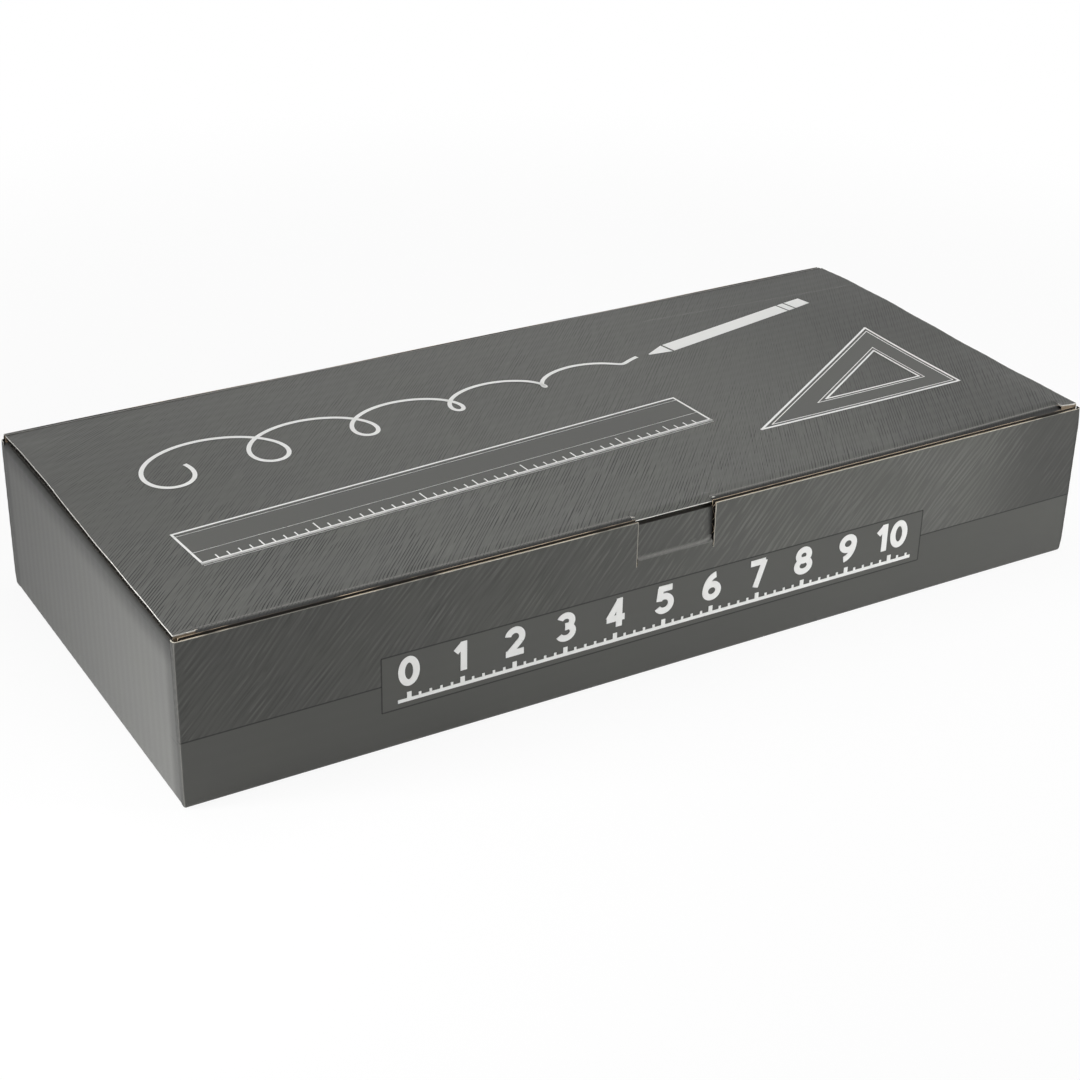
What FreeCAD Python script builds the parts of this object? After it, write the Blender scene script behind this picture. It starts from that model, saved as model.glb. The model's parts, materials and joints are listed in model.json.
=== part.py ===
import FreeCAD, Part
import math
import os
import re
import Sketcher

# A desk whiteboard packed in its roll-end mailer carton. The origin is at the centre of the carton's underside,
# with X along the carton's length, Y to the back and Z up. Every size is in millimetres and every angle in degrees.

# Sizes of the folded carton
CARTON_SIZES = {
    "box_length": 440,
    "box_depth": 200,
    "box_height": 75,
    "ply": 3,
    "ply_gap": 0.4,
    "fold_radius": 2.6,
    "crease_gap": 0.3,
    "wall_drop": 1,
    "lid_inset": 1.4,
    "corner_flap_space": 24,
    "corner_flap_relief": 1.5,
    "tongue_length": 42,
    "tongue_spacing": 100,
    "tongue_gap": 0.3,
    "slot_gap": 0.2,
}

# Sizes of the tuck flap, its window, and the lock tab that goes through it
LOCK_SIZES = {
    "tuck_height": 35,
    "tuck_lean_angle": 9,
    "tuck_side_gap": 0.8,
    "tuck_front_gap": 0.4,
    "tuck_corner": 10,
    "window_length": 39,
    "window_depth": 24,
    "tab_length": 37,
    "tab_depth": 19,
    "tab_drop": 3.4,
    "tab_gap": 0.5,
    "tab_notch": 2.5,
    "lid_notch": 0.8,
    "tab_lean_angle": 7,
    "tab_bevel_angle": 30,
}

# Sizes of the two foam end caps
FOAM_SIZES = {
    "foam_gap": 0.4,
    "foam_wall": 13.4,
    "foam_reach": 20,
    "foam_arm": 12,
    "foam_headroom": 5,
    "sweep_gap": 3,
}

# Sizes of the desk whiteboard's shell, base and glass
BOARD_SIZES = {
    "board_front_space": 22,
    "board_back_space": 28,
    "seat_gap": 0.3,
    "foot_height": 1.5,
    "foot_radius": 6,
    "foot_inset": 22,
    "front_height": 12,
    "rear_height": 42,
    "deck_depth": 36,
    "shell": 2.4,
    "edge_radius": 2,
    "end_thickness": 6,
    "end_corner": 5,
    "spigot_length": 3,
    "spigot_gap": 0.2,
    "glass_side_border": 8,
    "glass_edge_border": 7,
    "glass_thickness": 3.2,
    "glass_corner": 6,
    "glass_gap": 0.3,
    "steel_thickness": 0.6,
    "steel_margin": 4,
    "recess_floor": 2.2,
    "base_thickness": 2.5,
    "base_gap": 0.2,
    "screw_inset": 60,
    "screw_radius": 1.25,
    "screw_gap": 0.05,
    "screw_grip": 5,
    "head_radius": 2.6,
    "head_height": 1.4,
    "head_gap": 0.4,
    "boss_wall": 2,
}

# Sizes of the pen groove, its finger scoop and the round recess beside it
DECK_SIZES = {
    "groove_radius": 8.3,
    "groove_depth": 9.5,
    "groove_left_inset": 38.7,
    "groove_right_inset": 45.3,
    "groove_back": 16,
    "scoop_inset": 60,
    "scoop_depth": 4.5,
    "dimple_radius": 8.5,
    "dimple_depth": 3.5,
    "dimple_inset": 23,
}

# Sizes of the marker, its cap and the button magnet
MARKER_SIZES = {
    "marker_inset": 13.3,
    "marker_radius": 7.2,
    "barrel_length": 92,
    "barrel_wall": 1.4,
    "barrel_chamfer": 1,
    "plug_length": 4,
    "plug_spigot": 5,
    "plug_dome": 1.5,
    "neck_length": 16,
    "neck_radius": 5.6,
    "cone_length": 8,
    "tip_radius": 2.6,
    "nib_radius": 1.7,
    "nib_reach": 4,
    "nib_root": 8,
    "core_gap": 0.3,
    "cap_length": 40,
    "cap_gap": 0.3,
    "cap_crown": 7,
    "felt_radius": 5.4,
    "felt_depth": 2,
    "felt_height": 4,
    "magnet_radius": 7.5,
    "magnet_height": 6.5,
    "magnet_edge": 1.2,
    "disc_radius": 5,
    "disc_height": 3,
    "disc_gap": 0.1,
}

# How far a cutting shape runs past what it cuts
CUT_SIZES = {
    "overrun": 1,
}

# Places that follow from the sizes above
PLACES = {
    "half_length": "box_length / 2",
    "half_depth": "box_depth / 2",
    "wall_x": "half_length - ply",
    "wall_y": "half_depth - ply",
    "wall_top": "box_height - wall_drop",
    "lid_under": "box_height - ply",
    "lid_half": "half_length - lid_inset",
    "roll_top": "lid_under - crease_gap",
    "roll_under": "roll_top - ply",
    "inner_x": "half_length - 3 * ply - 2 * ply_gap",
    "corner_flap_x": "wall_x - ply_gap",
    "lid_front": "wall_y - tuck_front_gap",
    "lid_back": "wall_y - crease_gap",
    "tuck_y": "lid_front - ply",
    "tuck_half": "inner_x - tuck_side_gap",
    "window_half": "window_length / 2",
    "tab_half": "tab_length / 2",
    "tab_crease": "box_height - tab_depth",
    "tab_height": "tab_depth - tab_drop",
    "board_half": "inner_x - 2 * foam_gap - foam_wall",
    "board_front": "board_front_space - half_depth",
    "board_back": "half_depth - board_back_space",
    "board_depth": "board_back - board_front",
    "base_z": "ply + seat_gap + foot_height",
    "front_top": "base_z + front_height",
    "deck_top": "base_z + rear_height",
    "deck_front": "board_back - deck_depth",
    "slope_run": "board_depth - deck_depth",
    "slope_rise": "rear_height - front_height",
    "slope_length": "sqrt(slope_run ^ 2 + slope_rise ^ 2)",
    "slope_cos": "slope_run / slope_length",
    "slope_sin": "slope_rise / slope_length",
    "slope_angle": "atan(slope_rise / slope_run)",
    "recess_depth": "glass_thickness + steel_thickness",
    "slab_drop": "(recess_depth + recess_floor) / slope_cos",
    "cavity_front": "board_front + shell",
    "cavity_back": "board_back - shell",
    "cavity_top": "deck_top - groove_depth - shell",
    "cavity_knee": "board_front + (cavity_top - front_top + slab_drop) * slope_run / slope_rise",
    "cavity_low": "front_top - slab_drop + shell * slope_rise / slope_run",
    "housing_half": "board_half - end_thickness",
    "glass_length": "2 * (housing_half - glass_side_border)",
    "glass_width": "slope_length - 2 * glass_edge_border",
    "glass_y": "(board_front + deck_front) / 2",
    "glass_z": "(front_top + deck_top) / 2",
    "groove_y": "board_back - groove_back",
    "groove_z": "deck_top - groove_depth + groove_radius",
    "groove_low": "groove_left_inset + groove_radius - housing_half",
    "groove_high": "housing_half - groove_right_inset - groove_radius",
    "scoop_low": "groove_low - groove_radius + scoop_inset",
    "scoop_high": "groove_high + groove_radius - scoop_inset",
    "dimple_place": "housing_half - dimple_inset",
    "marker_start": "groove_low - groove_radius + marker_inset",
    "marker_z": "groove_z - groove_radius + marker_radius + seat_gap",
    "neck_start": "plug_length + barrel_length",
    "cone_start": "neck_start + neck_length",
    "tip_end": "cone_start + cone_length",
    "cap_start": "neck_start + cap_gap",
    "cap_end": "cap_start + cap_length",
    "bore_radius": "marker_radius - barrel_wall",
    "base_top": "base_z + base_thickness",
    "screw_x": "housing_half - screw_inset",
    "front_screw_y": "board_front + board_depth / 3",
    "rear_screw_y": "board_back - shell - boss_wall - head_radius",
    "boss_radius": "screw_radius + boss_wall",
    "foam_low_top": "lid_under - tuck_height - sweep_gap",
    "foam_step": "tuck_height + sweep_gap - tuck_y",
    "foam_top": "lid_under - foam_headroom",
}

SIZE_GROUPS = (CARTON_SIZES, LOCK_SIZES, FOAM_SIZES, BOARD_SIZES, DECK_SIZES, MARKER_SIZES, CUT_SIZES)
LEVEL_TOLERANCE = 1e-5
SIDES = {"left": -1, "right": 1}
ENDS = {"front": -1, "back": 1}
X_AXIS = FreeCAD.Vector(1, 0, 0)
Y_AXIS = FreeCAD.Vector(0, 1, 0)
Z_AXIS = FreeCAD.Vector(0, 0, 1)
ALONG_X = FreeCAD.Rotation(Y_AXIS, 90)
ALONG_Y = FreeCAD.Rotation(X_AXIS, -90)
UPRIGHT = FreeCAD.Rotation()
ORIGIN = ("0", "0", "0")

doc = FreeCAD.newDocument("mailer_carton")
sheet = doc.addObject("Spreadsheet::Sheet", "Sizes")
nodes = []


def fill_sheet():
    """Write every driving size as a plain number, and every place as a formula, each under its own alias."""
    row = 0
    for group in SIZE_GROUPS:
        for name, value in group.items():
            row += 1
            sheet.set(f"A{row}", str(value))
            sheet.setAlias(f"A{row}", name)
    for name, formula in PLACES.items():
        row += 1
        sheet.setAlias(f"A{row}", name)
        sheet.set(f"A{row}", "=" + formula)
    doc.recompute()


def bound(formula):
    """Return the formula with each size's name led by the sheet's name, for use outside the sheet."""
    known = set(PLACES).union(*SIZE_GROUPS)
    return re.sub(r"[a-z_]+", lambda word: "Sizes." + word[0] if word[0] in known else word[0], formula)


def bind(thing, **formulas):
    """Bind plain properties of one object to formulas."""
    for path, formula in formulas.items():
        thing.setExpression(path, bound(formula))


def place(thing, at, turn=UPRIGHT, path="Placement"):
    """Put an object at three formulas, turned by a fixed rotation."""
    setattr(thing, path, FreeCAD.Placement(FreeCAD.Vector(), turn))
    for axis, formula in zip("xyz", at):
        if formula != "0":
            thing.setExpression(f"{path}.Base.{axis}", bound(formula))


def tilt(thing, at, angle, path="Placement"):
    """Put an object at three formulas, turned about X by an angle that is a formula too."""
    place(thing, at, FreeCAD.Rotation(X_AXIS, 1), path)
    thing.setExpression(f"{path}.Rotation.Angle", bound(angle))


def span(side, near, far):
    """Return the low and high formula of a stretch from near to far, on the side of the origin that is given."""
    return (near, far) if side > 0 else (f"-({far})", f"-({near})")


def new_body(name):
    """Start a sub-part: a body whose label is the name of its file."""
    body = doc.addObject("PartDesign::Body", name)
    body.Label = name
    nodes.append(body)
    return body


def block(body, x, y, z, cut=False):
    """Add or cut a box that runs between two formulas along each axis."""
    kind = "Subtractive" if cut else "Additive"
    box = body.newObject(f"PartDesign::{kind}Box", "Block")
    bind(box, Length=f"({x[1]}) - ({x[0]})", Width=f"({y[1]}) - ({y[0]})", Height=f"({z[1]}) - ({z[0]})")
    place(box, (x[0], y[0], z[0]))
    return box


def rod(body, at, radius, length, turn=UPRIGHT, cut=False):
    """Add or cut a cylinder that starts at a point and runs along the turned Z axis."""
    kind = "Subtractive" if cut else "Additive"
    cylinder = body.newObject(f"PartDesign::{kind}Cylinder", "Rod")
    bind(cylinder, Radius=radius, Height=length)
    place(cylinder, at, turn)
    return cylinder


def ball_cut(body, at, radius):
    """Cut a sphere."""
    ball = body.newObject("PartDesign::SubtractiveSphere", "Ball")
    bind(ball, Radius=radius)
    place(ball, at)


def on_face(edge, axis, level):
    """Tell whether both ends of an edge, and its middle, lie at one level of an axis."""
    points = [vertex.Point for vertex in edge.Vertexes] + [edge.CenterOfMass]
    return all(abs(getattr(point, axis) - level) < LEVEL_TOLERANCE for point in points)


def round_edges(body, radius, *corners):
    """Round the body's outer edges, each given by the two sides of its bounding box that it lies on."""
    doc.recompute()
    base = body.Tip
    box = base.Shape.BoundBox
    levels = {
        "left": ("x", box.XMin), "right": ("x", box.XMax),
        "front": ("y", box.YMin), "back": ("y", box.YMax),
        "under": ("z", box.ZMin), "top": ("z", box.ZMax),
    }
    names = []
    for corner in corners:
        for index, edge in enumerate(base.Shape.Edges):
            if all(on_face(edge, *levels[side]) for side in corner.split()):
                names.append(f"Edge{index + 1}")
    return fillet(body, base, names, radius)


def fillet(body, base, names, radius):
    """Add a fillet on named edges of a feature."""
    rounding = body.newObject("PartDesign::Fillet", "Rounding")
    rounding.Base = (base, names)
    bind(rounding, Radius=radius)
    return rounding


def new_sketch(body, role, offset=ORIGIN, angle=None):
    """Start a sketch on one of the body's own planes, moved by three formulas and tilted about its X axis."""
    sketch = body.newObject("Sketcher::SketchObject", "Outline")
    plane = next(item for item in body.Origin.OriginFeatures if item.Role == role)
    sketch.AttachmentSupport = [(plane, "")]
    sketch.MapMode = "FlatFace"
    if angle:
        tilt(sketch, offset, angle, "AttachmentOffset")
    else:
        place(sketch, offset, UPRIGHT, "AttachmentOffset")
    return sketch


def bind_constraint(sketch, kind, *where, formula):
    """Add one dimension to a sketch and bind it to a formula."""
    index = sketch.addConstraint(Sketcher.Constraint(kind, *where))
    sketch.setExpression(f"Constraints[{index}]", bound(formula))


def evaluate(formula):
    """Work out one formula in the document as it stands."""
    value = sheet.evalExpression(bound(formula))
    return getattr(value, "Value", value)


def draw_polygon(sketch, corners):
    """Draw a closed polygon whose corners are pairs of formulas."""
    points = [FreeCAD.Vector(evaluate(across), evaluate(up), 0) for across, up in corners]
    lines = [Part.LineSegment(start, end) for start, end in zip(points, points[1:] + points[:1])]
    sketch.addGeometry(lines, False)
    for index in range(len(lines)):
        sketch.addConstraint(Sketcher.Constraint("Coincident", index, 2, (index + 1) % len(lines), 1))
    for index, (across, up) in enumerate(corners):
        point = points[index]
        bind_constraint(sketch, "DistanceX", -1, 1, index, 1, point.x, formula=across)
        bind_constraint(sketch, "DistanceY", -1, 1, index, 1, point.y, formula=up)


def rounded_outline(across, up, bend):
    """Return four quarter arcs about the corners of a rectangle, and the lines that join them."""
    arcs = []
    for index, (x, y) in enumerate(((across, up), (-across, up), (-across, -up), (across, -up))):
        circle = Part.Circle(FreeCAD.Vector(x, y, 0), Z_AXIS, bend)
        arcs.append(Part.ArcOfCircle(circle, index * math.pi / 2, (index + 1) * math.pi / 2))
    following = arcs[1:] + arcs[:1]
    return arcs + [Part.LineSegment(arc.EndPoint, after.StartPoint) for arc, after in zip(arcs, following)]


def draw_rounded(sketch, length, width, radius):
    """Draw a rectangle about the origin with four round corners."""
    across, up = f"({length}) - 2 * ({radius})", f"({width}) - 2 * ({radius})"
    wide, high, bend = evaluate(across), evaluate(up), evaluate(radius)
    sketch.addGeometry(rounded_outline(wide / 2, high / 2, bend), False)
    for index in range(4):
        sketch.addConstraint(Sketcher.Constraint("Tangent", index, 2, index + 4, 1))
        sketch.addConstraint(Sketcher.Constraint("Tangent", index + 4, 2, (index + 1) % 4, 1))
    for index in (1, 2, 3):
        sketch.addConstraint(Sketcher.Constraint("Equal", 0, index))
    for index in (4, 6):
        sketch.addConstraint(Sketcher.Constraint("Horizontal", index))
    sketch.addConstraint(Sketcher.Constraint("Vertical", 5))
    sketch.addConstraint(Sketcher.Constraint("Symmetric", 0, 3, 2, 3, -1, 1))
    bind_constraint(sketch, "Radius", 0, bend, formula=radius)
    bind_constraint(sketch, "DistanceX", 1, 3, 0, 3, wide, formula=across)
    bind_constraint(sketch, "DistanceY", 3, 3, 0, 3, high, formula=up)


def pad(body, sketch, length, midplane=False, back=False):
    """Pad a sketch by a length, to both sides, or against its normal."""
    feature = body.newObject("PartDesign::Pad", "Pad")
    feature.Profile = sketch
    feature.Midplane = midplane
    feature.Reversed = back
    bind(feature, Length=length)
    return feature


def turned(body, corners, role="XY_Plane", axis="H_Axis"):
    """Turn a closed polygon about one axis of its sketch."""
    sketch = new_sketch(body, role)
    draw_polygon(sketch, corners)
    feature = body.newObject("PartDesign::Revolution", "Turning")
    feature.Profile = sketch
    feature.ReferenceAxis = (sketch, [axis])
    return feature


def both_ways(half):
    """Return the low and high formula of a stretch that is centred on the origin."""
    return f"-({half})", half


def make_bottom():
    """The floor panel, with a slot for each tongue of the inner side walls."""
    body = new_body("bottom_panel")
    block(body, both_ways("wall_x"), both_ways("wall_y"), ("0", "ply"))
    for side in SIDES.values():
        for end in ENDS.values():
            x = span(side, "inner_x - slot_gap", "inner_x + ply + slot_gap")
            block(body, x, tongue_span(end, "slot_gap"), ("-overrun", "ply + overrun"), cut=True)


def tongue_span(end, margin):
    """Where one tongue lies along the depth, with a margin at both ends."""
    near = f"tongue_spacing / 2 - tongue_length / 2 - {margin}"
    far = f"tongue_spacing / 2 + tongue_length / 2 + {margin}"
    return span(end, near, far)


def make_front_wall():
    """The front wall, open where the lock tab is cut out of it, with short cuts that run on below the crease."""
    body = new_body("front_wall")
    y = ("-half_depth", "-wall_y")
    block(body, both_ways("half_length"), y, ("0", "wall_top"))
    round_edges(body, "fold_radius", "left front", "right front", "front under")
    through = ("-half_depth - overrun", "-wall_y + overrun")
    block(body, both_ways("tab_half + tab_gap"), through, ("tab_crease", "wall_top + overrun"), cut=True)
    for side in SIDES.values():
        x = span(side, "tab_half", "tab_half + tab_gap")
        block(body, x, through, ("tab_crease - tab_notch", "tab_crease + overrun"), cut=True)


def make_back_wall():
    """The back wall, whose top carries the lid's fold along the length of the lid."""
    body = new_body("back_wall")
    block(body, both_ways("half_length"), ("wall_y", "half_depth"), ("0", "box_height"))
    round_edges(body, "fold_radius", "left back", "right back", "back under", "back top")
    for side in SIDES.values():
        x = span(side, "lid_half", "half_length + overrun")
        y = ("wall_y - overrun", "half_depth + overrun")
        block(body, x, y, ("lid_under", "box_height + overrun"), cut=True)


def make_side(word, side):
    """One side: the outer wall, the strip that rolls over its top, and the inner wall with its two tongues."""
    outer = new_body(f"{word}_outer_wall")
    block(outer, span(side, "wall_x", "half_length"), both_ways("wall_y"), ("0", "roll_under"))
    round_edges(outer, "fold_radius", f"{word} under")
    roll = new_body(f"{word}_top_roll")
    block(roll, span(side, "inner_x", "half_length"), both_ways("wall_y"), ("roll_under", "roll_top"))
    round_edges(roll, "fold_radius", "left top", "right top")
    inner = new_body(f"{word}_inner_wall")
    x = span(side, "inner_x", "inner_x + ply")
    block(inner, x, both_ways("wall_y - ply_gap"), ("ply", "roll_under"))
    for end in ENDS.values():
        block(inner, x, tongue_span(end, "0"), ("tongue_gap", "ply"))


def make_corner_flap(word, end, side_word, side):
    """One corner flap, folded in from the front or back wall between the two layers of the side."""
    body = new_body(f"{word}_{side_word}_corner_flap")
    x = span(side, "corner_flap_x - ply", "corner_flap_x")
    y = span(end, "corner_flap_space / 2", "wall_y")
    block(body, x, y, ("ply + corner_flap_relief", "roll_under - corner_flap_relief"))


def make_lid():
    """The lid, rounded along its front fold, with a shallow notch where the tuck flap's window is cut."""
    body = new_body("lid_panel")
    block(body, both_ways("lid_half"), ("-lid_front", "lid_back"), ("lid_under", "box_height"))
    round_edges(body, "fold_radius", "front top")
    y = ("-lid_front - overrun", "lid_notch - lid_front")
    block(body, both_ways("window_half"), y, ("lid_under - overrun", "box_height + overrun"), cut=True)


def make_tuck_flap():
    """The tuck flap, hung below the lid's front fold, leaning in, with the lock tab's window in its top edge."""
    body = new_body("tuck_flap")
    z = ("-crease_gap - tuck_height", "-crease_gap")
    block(body, both_ways("tuck_half"), ("-ply", "0"), z)
    round_edges(body, "tuck_corner", "left under", "right under")
    y = ("-ply - overrun", "overrun")
    block(body, both_ways("window_half"), y, ("-crease_gap - window_depth", "overrun"), cut=True)
    tilt(body, ("0", "-tuck_y", "lid_under"), "tuck_lean_angle")


def make_lock_tab():
    """The lock tab, pushed in about its crease, with the crushed board of the crease cut away at a slant."""
    body = new_body("lock_tab")
    sketch = new_sketch(body, "YZ_Plane")
    bevel = "crease_gap + ply * tan(tab_bevel_angle)"
    draw_polygon(sketch, [("0", "crease_gap"), ("0", "tab_height"), ("ply", "tab_height"), ("ply", bevel)])
    pad(body, sketch, "tab_length", midplane=True)
    tilt(body, ("0", "-half_depth", "tab_crease"), "-tab_lean_angle")


def make_foam_cap(word, side):
    """One foam end cap: a low front under the tuck flap's swing, a high back, and a pocket for the board's end."""
    body = new_body(f"foam_cap_{word}")
    x = span(side, "board_half - foam_reach", "inner_x - foam_gap")
    front = "board_front - foam_arm"
    back = "wall_y - foam_gap"
    block(body, x, (front, back), ("ply", "foam_low_top"))
    block(body, x, ("foam_step", back), ("foam_low_top", "foam_top"))
    pocket = span(side, "board_half - foam_reach - overrun", "board_half + foam_gap")
    y = ("board_front - foam_gap", "board_back + foam_gap")
    block(body, pocket, y, ("ply - overrun", "foam_top + overrun"), cut=True)


def housing_outline():
    """The shell's section: a low front, a long slope, a deck at the back, and the hollow below them."""
    return [
        ("board_front", "base_z"),
        ("board_front", "front_top"),
        ("deck_front", "deck_top"),
        ("board_back", "deck_top"),
        ("board_back", "base_z"),
        ("cavity_back", "base_z"),
        ("cavity_back", "cavity_top"),
        ("cavity_knee", "cavity_top"),
        ("cavity_front", "cavity_low"),
        ("cavity_front", "base_z"),
    ]


def screw_places():
    """The four places of the base screws, as pairs of formulas."""
    return [(x, y) for x in both_ways("screw_x") for y in ("front_screw_y", "rear_screw_y")]


def make_housing():
    """The whiteboard's shell, with the glass's recess, the pen groove, the scoop, the dimple and the bosses."""
    body = new_body("board_housing")
    outline = new_sketch(body, "YZ_Plane")
    draw_polygon(outline, housing_outline())
    pad(body, outline, "2 * housing_half", midplane=True)
    round_edges(body, "edge_radius", "back top")
    cut_recess(body)
    cut_groove(body)
    cut_scoop(body)
    rod(body, ("dimple_place", "groove_y", "deck_top - dimple_depth"), "dimple_radius", "dimple_depth + overrun",
        cut=True)
    for x, y in screw_places():
        add_boss(body, x, y)


def cut_recess(body):
    """Cut the sloped recess that holds the steel sheet and the glass."""
    sketch = new_sketch(body, "XY_Plane", ("0", "glass_y", "glass_z"), "slope_angle")
    draw_rounded(sketch, "glass_length + 2 * glass_gap", "glass_width + 2 * glass_gap", "glass_corner + glass_gap")
    pocket = body.newObject("PartDesign::Pocket", "Recess")
    pocket.Profile = sketch
    bind(pocket, Length="recess_depth")


def cut_groove(body):
    """Cut the pen groove: a round trough along the deck with round ends."""
    rise = "deck_top - groove_z + overrun"
    rod(body, ("groove_low", "groove_y", "groove_z"), "groove_radius", "groove_high - groove_low", ALONG_X,
        cut=True)
    y = ("groove_y - groove_radius", "groove_y + groove_radius")
    block(body, ("groove_low", "groove_high"), y, ("groove_z", "deck_top + overrun"), cut=True)
    for x in ("groove_low", "groove_high"):
        ball_cut(body, (x, "groove_y", "groove_z"), "groove_radius")
        rod(body, (x, "groove_y", "groove_z"), "groove_radius", rise, cut=True)


def cut_scoop(body):
    """Cut the finger scoop out of the groove's front lip, with ends that curve up to the deck."""
    x = ("scoop_low + scoop_depth", "scoop_high - scoop_depth")
    block(body, x, ("deck_front", "groove_y"), ("deck_top - scoop_depth", "deck_top + overrun"), cut=True)
    for x in ("scoop_low + scoop_depth", "scoop_high - scoop_depth"):
        rod(body, (x, "deck_front", "deck_top"), "scoop_depth", "groove_y - deck_front", ALONG_Y, cut=True)


def add_boss(body, x, y):
    """Add one screw boss under the shell, with the hole that the screw cuts into."""
    boss_top = f"min(cavity_top; cavity_low + ({y} - cavity_front) * slope_rise / slope_run) + recess_floor / 2"
    rod(body, (x, y, "base_top"), "boss_radius", f"{boss_top} - base_top")
    rod(body, (x, y, "base_top - overrun"), "screw_radius + screw_gap", "screw_grip + 2 * overrun", cut=True)


def make_board_end(word, side):
    """One plain end of the whiteboard, with a spigot that locates it in the shell's hollow."""
    body = new_body(f"board_end_{word}")
    plate = new_sketch(body, "YZ_Plane")
    draw_polygon(plate, housing_outline()[:5])
    pad(body, plate, "end_thickness", back=side < 0)
    round_edges(body, "end_corner", f"{word} front", f"{word} back")
    sketch = new_sketch(body, "YZ_Plane")
    draw_polygon(sketch, [
        ("cavity_front + spigot_gap", "base_top + spigot_gap"),
        ("cavity_front + spigot_gap", "cavity_low - spigot_gap"),
        ("cavity_knee", "cavity_top - 2 * spigot_gap"),
        ("cavity_back - spigot_gap", "cavity_top - 2 * spigot_gap"),
        ("cavity_back - spigot_gap", "base_top + spigot_gap"),
    ])
    pad(body, sketch, "spigot_length", back=side > 0)
    place(body, ("housing_half" if side > 0 else "-housing_half", "0", "0"))


def make_base():
    """The whiteboard's bottom cover, with a counterbored hole for each screw."""
    body = new_body("board_base")
    y = ("cavity_front + base_gap", "cavity_back - base_gap")
    block(body, both_ways("housing_half"), y, ("base_z", "base_top"))
    for x, depth in screw_places():
        at = (x, depth, "base_z - overrun")
        rod(body, at, "head_radius + head_gap", "overrun + head_height", cut=True)
        rod(body, at, "screw_radius + screw_gap", "base_thickness + 2 * overrun", cut=True)


def group(name, solids):
    """Gather separate solids into one sub-part."""
    compound = doc.addObject("Part::Compound", name)
    compound.Label = name
    compound.Links = solids
    nodes.append(compound)


def make_screws():
    """The four pan-head screws of the base."""
    screws = []
    for x, y in screw_places():
        head = plain_rod("Head", (x, y, "base_z"), "head_radius", "head_height")
        shank = plain_rod("Shank", (x, y, "base_z + head_height"), "screw_radius",
                          "base_thickness - head_height + screw_grip")
        screw = doc.addObject("Part::Fuse", "Screw")
        screw.Base = head
        screw.Tool = shank
        screws.append(screw)
    group("base_screws", screws)


def plain_rod(name, at, radius, length):
    """Make one upright cylinder outside any body."""
    cylinder = doc.addObject("Part::Cylinder", name)
    bind(cylinder, Radius=radius, Height=length)
    place(cylinder, at)
    return cylinder


def make_feet():
    """The four rubber feet under the base."""
    feet = []
    for x in both_ways("housing_half - foot_inset"):
        for y in ("board_front + foot_inset", "board_back - foot_inset"):
            feet.append(plain_rod("Foot", (x, y, "ply + seat_gap"), "foot_radius", "foot_height"))
    group("rubber_feet", feet)


def make_panel(name, margin, thickness, depth):
    """One rounded sheet that lies in the recess, its top a given depth under the slope."""
    body = new_body(name)
    sketch = new_sketch(body, "XY_Plane")
    draw_rounded(sketch, f"glass_length - 2 * {margin}", f"glass_width - 2 * {margin}", "glass_corner")
    pad(body, sketch, thickness, back=True)
    tilt(body, ("0", f"glass_y + ({depth}) * slope_sin", f"glass_z - ({depth}) * slope_cos"), "slope_angle")


def marker_body(name):
    """Start a piece of the marker, whose own X axis is the marker's, from its plugged end."""
    body = new_body(name)
    place(body, ("marker_start", "groove_y", "marker_z"))
    return body


def make_marker():
    """The marker: a hollow barrel with a neck and a cone, its end plug, ink core, nib and cap with a felt."""
    turned(marker_body("marker_barrel"), [
        ("plug_length", "bore_radius"),
        ("plug_length", "marker_radius - barrel_chamfer"),
        ("plug_length + barrel_chamfer", "marker_radius"),
        ("neck_start", "marker_radius"),
        ("neck_start", "neck_radius"),
        ("cone_start", "neck_radius"),
        ("tip_end", "tip_radius"),
        ("tip_end", "nib_radius"),
        ("neck_start - nib_root", "nib_radius"),
        ("neck_start - nib_root", "bore_radius"),
    ])
    turned(marker_body("marker_end_plug"), [
        ("0", "0"),
        ("0", "marker_radius - barrel_chamfer - plug_dome"),
        ("plug_dome", "marker_radius - barrel_chamfer"),
        ("plug_length", "marker_radius - barrel_chamfer"),
        ("plug_length", "bore_radius"),
        ("plug_length + plug_spigot", "bore_radius"),
        ("plug_length + plug_spigot", "0"),
    ])
    core_end = "neck_start - nib_root - core_gap"
    turned(marker_body("marker_ink_core"), [
        ("plug_length + plug_spigot", "0"),
        ("plug_length + plug_spigot", "bore_radius - core_gap"),
        (core_end, "bore_radius - core_gap"),
        (core_end, "0"),
    ])
    turned(marker_body("marker_nib"), [
        (core_end, "0"),
        (core_end, "nib_radius"),
        ("tip_end + nib_reach / 2", "nib_radius"),
        ("tip_end + nib_reach", "nib_radius / 2"),
        ("tip_end + nib_reach", "0"),
    ])
    make_cap()


def make_cap():
    """The marker's cap, hollow over the neck, with a felt wiper set in its crown."""
    crown = "cap_end - cap_crown"
    turned(marker_body("marker_cap"), [
        ("cap_start", "neck_radius + cap_gap"),
        ("cap_start", "marker_radius"),
        ("cap_end - barrel_chamfer", "marker_radius"),
        ("cap_end", "marker_radius - barrel_chamfer"),
        ("cap_end", "felt_radius"),
        ("cap_end - felt_depth", "felt_radius"),
        ("cap_end - felt_depth", "0"),
        (crown, "0"),
        (crown, "nib_radius * 2"),
        ("tip_end + cap_gap", "neck_radius + cap_gap"),
    ])
    turned(marker_body("cap_felt"), [
        ("cap_end - felt_depth", "0"),
        ("cap_end - felt_depth", "felt_radius"),
        ("cap_end - felt_depth + felt_height", "felt_radius"),
        ("cap_end - felt_depth + felt_height", "0"),
    ])


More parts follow.
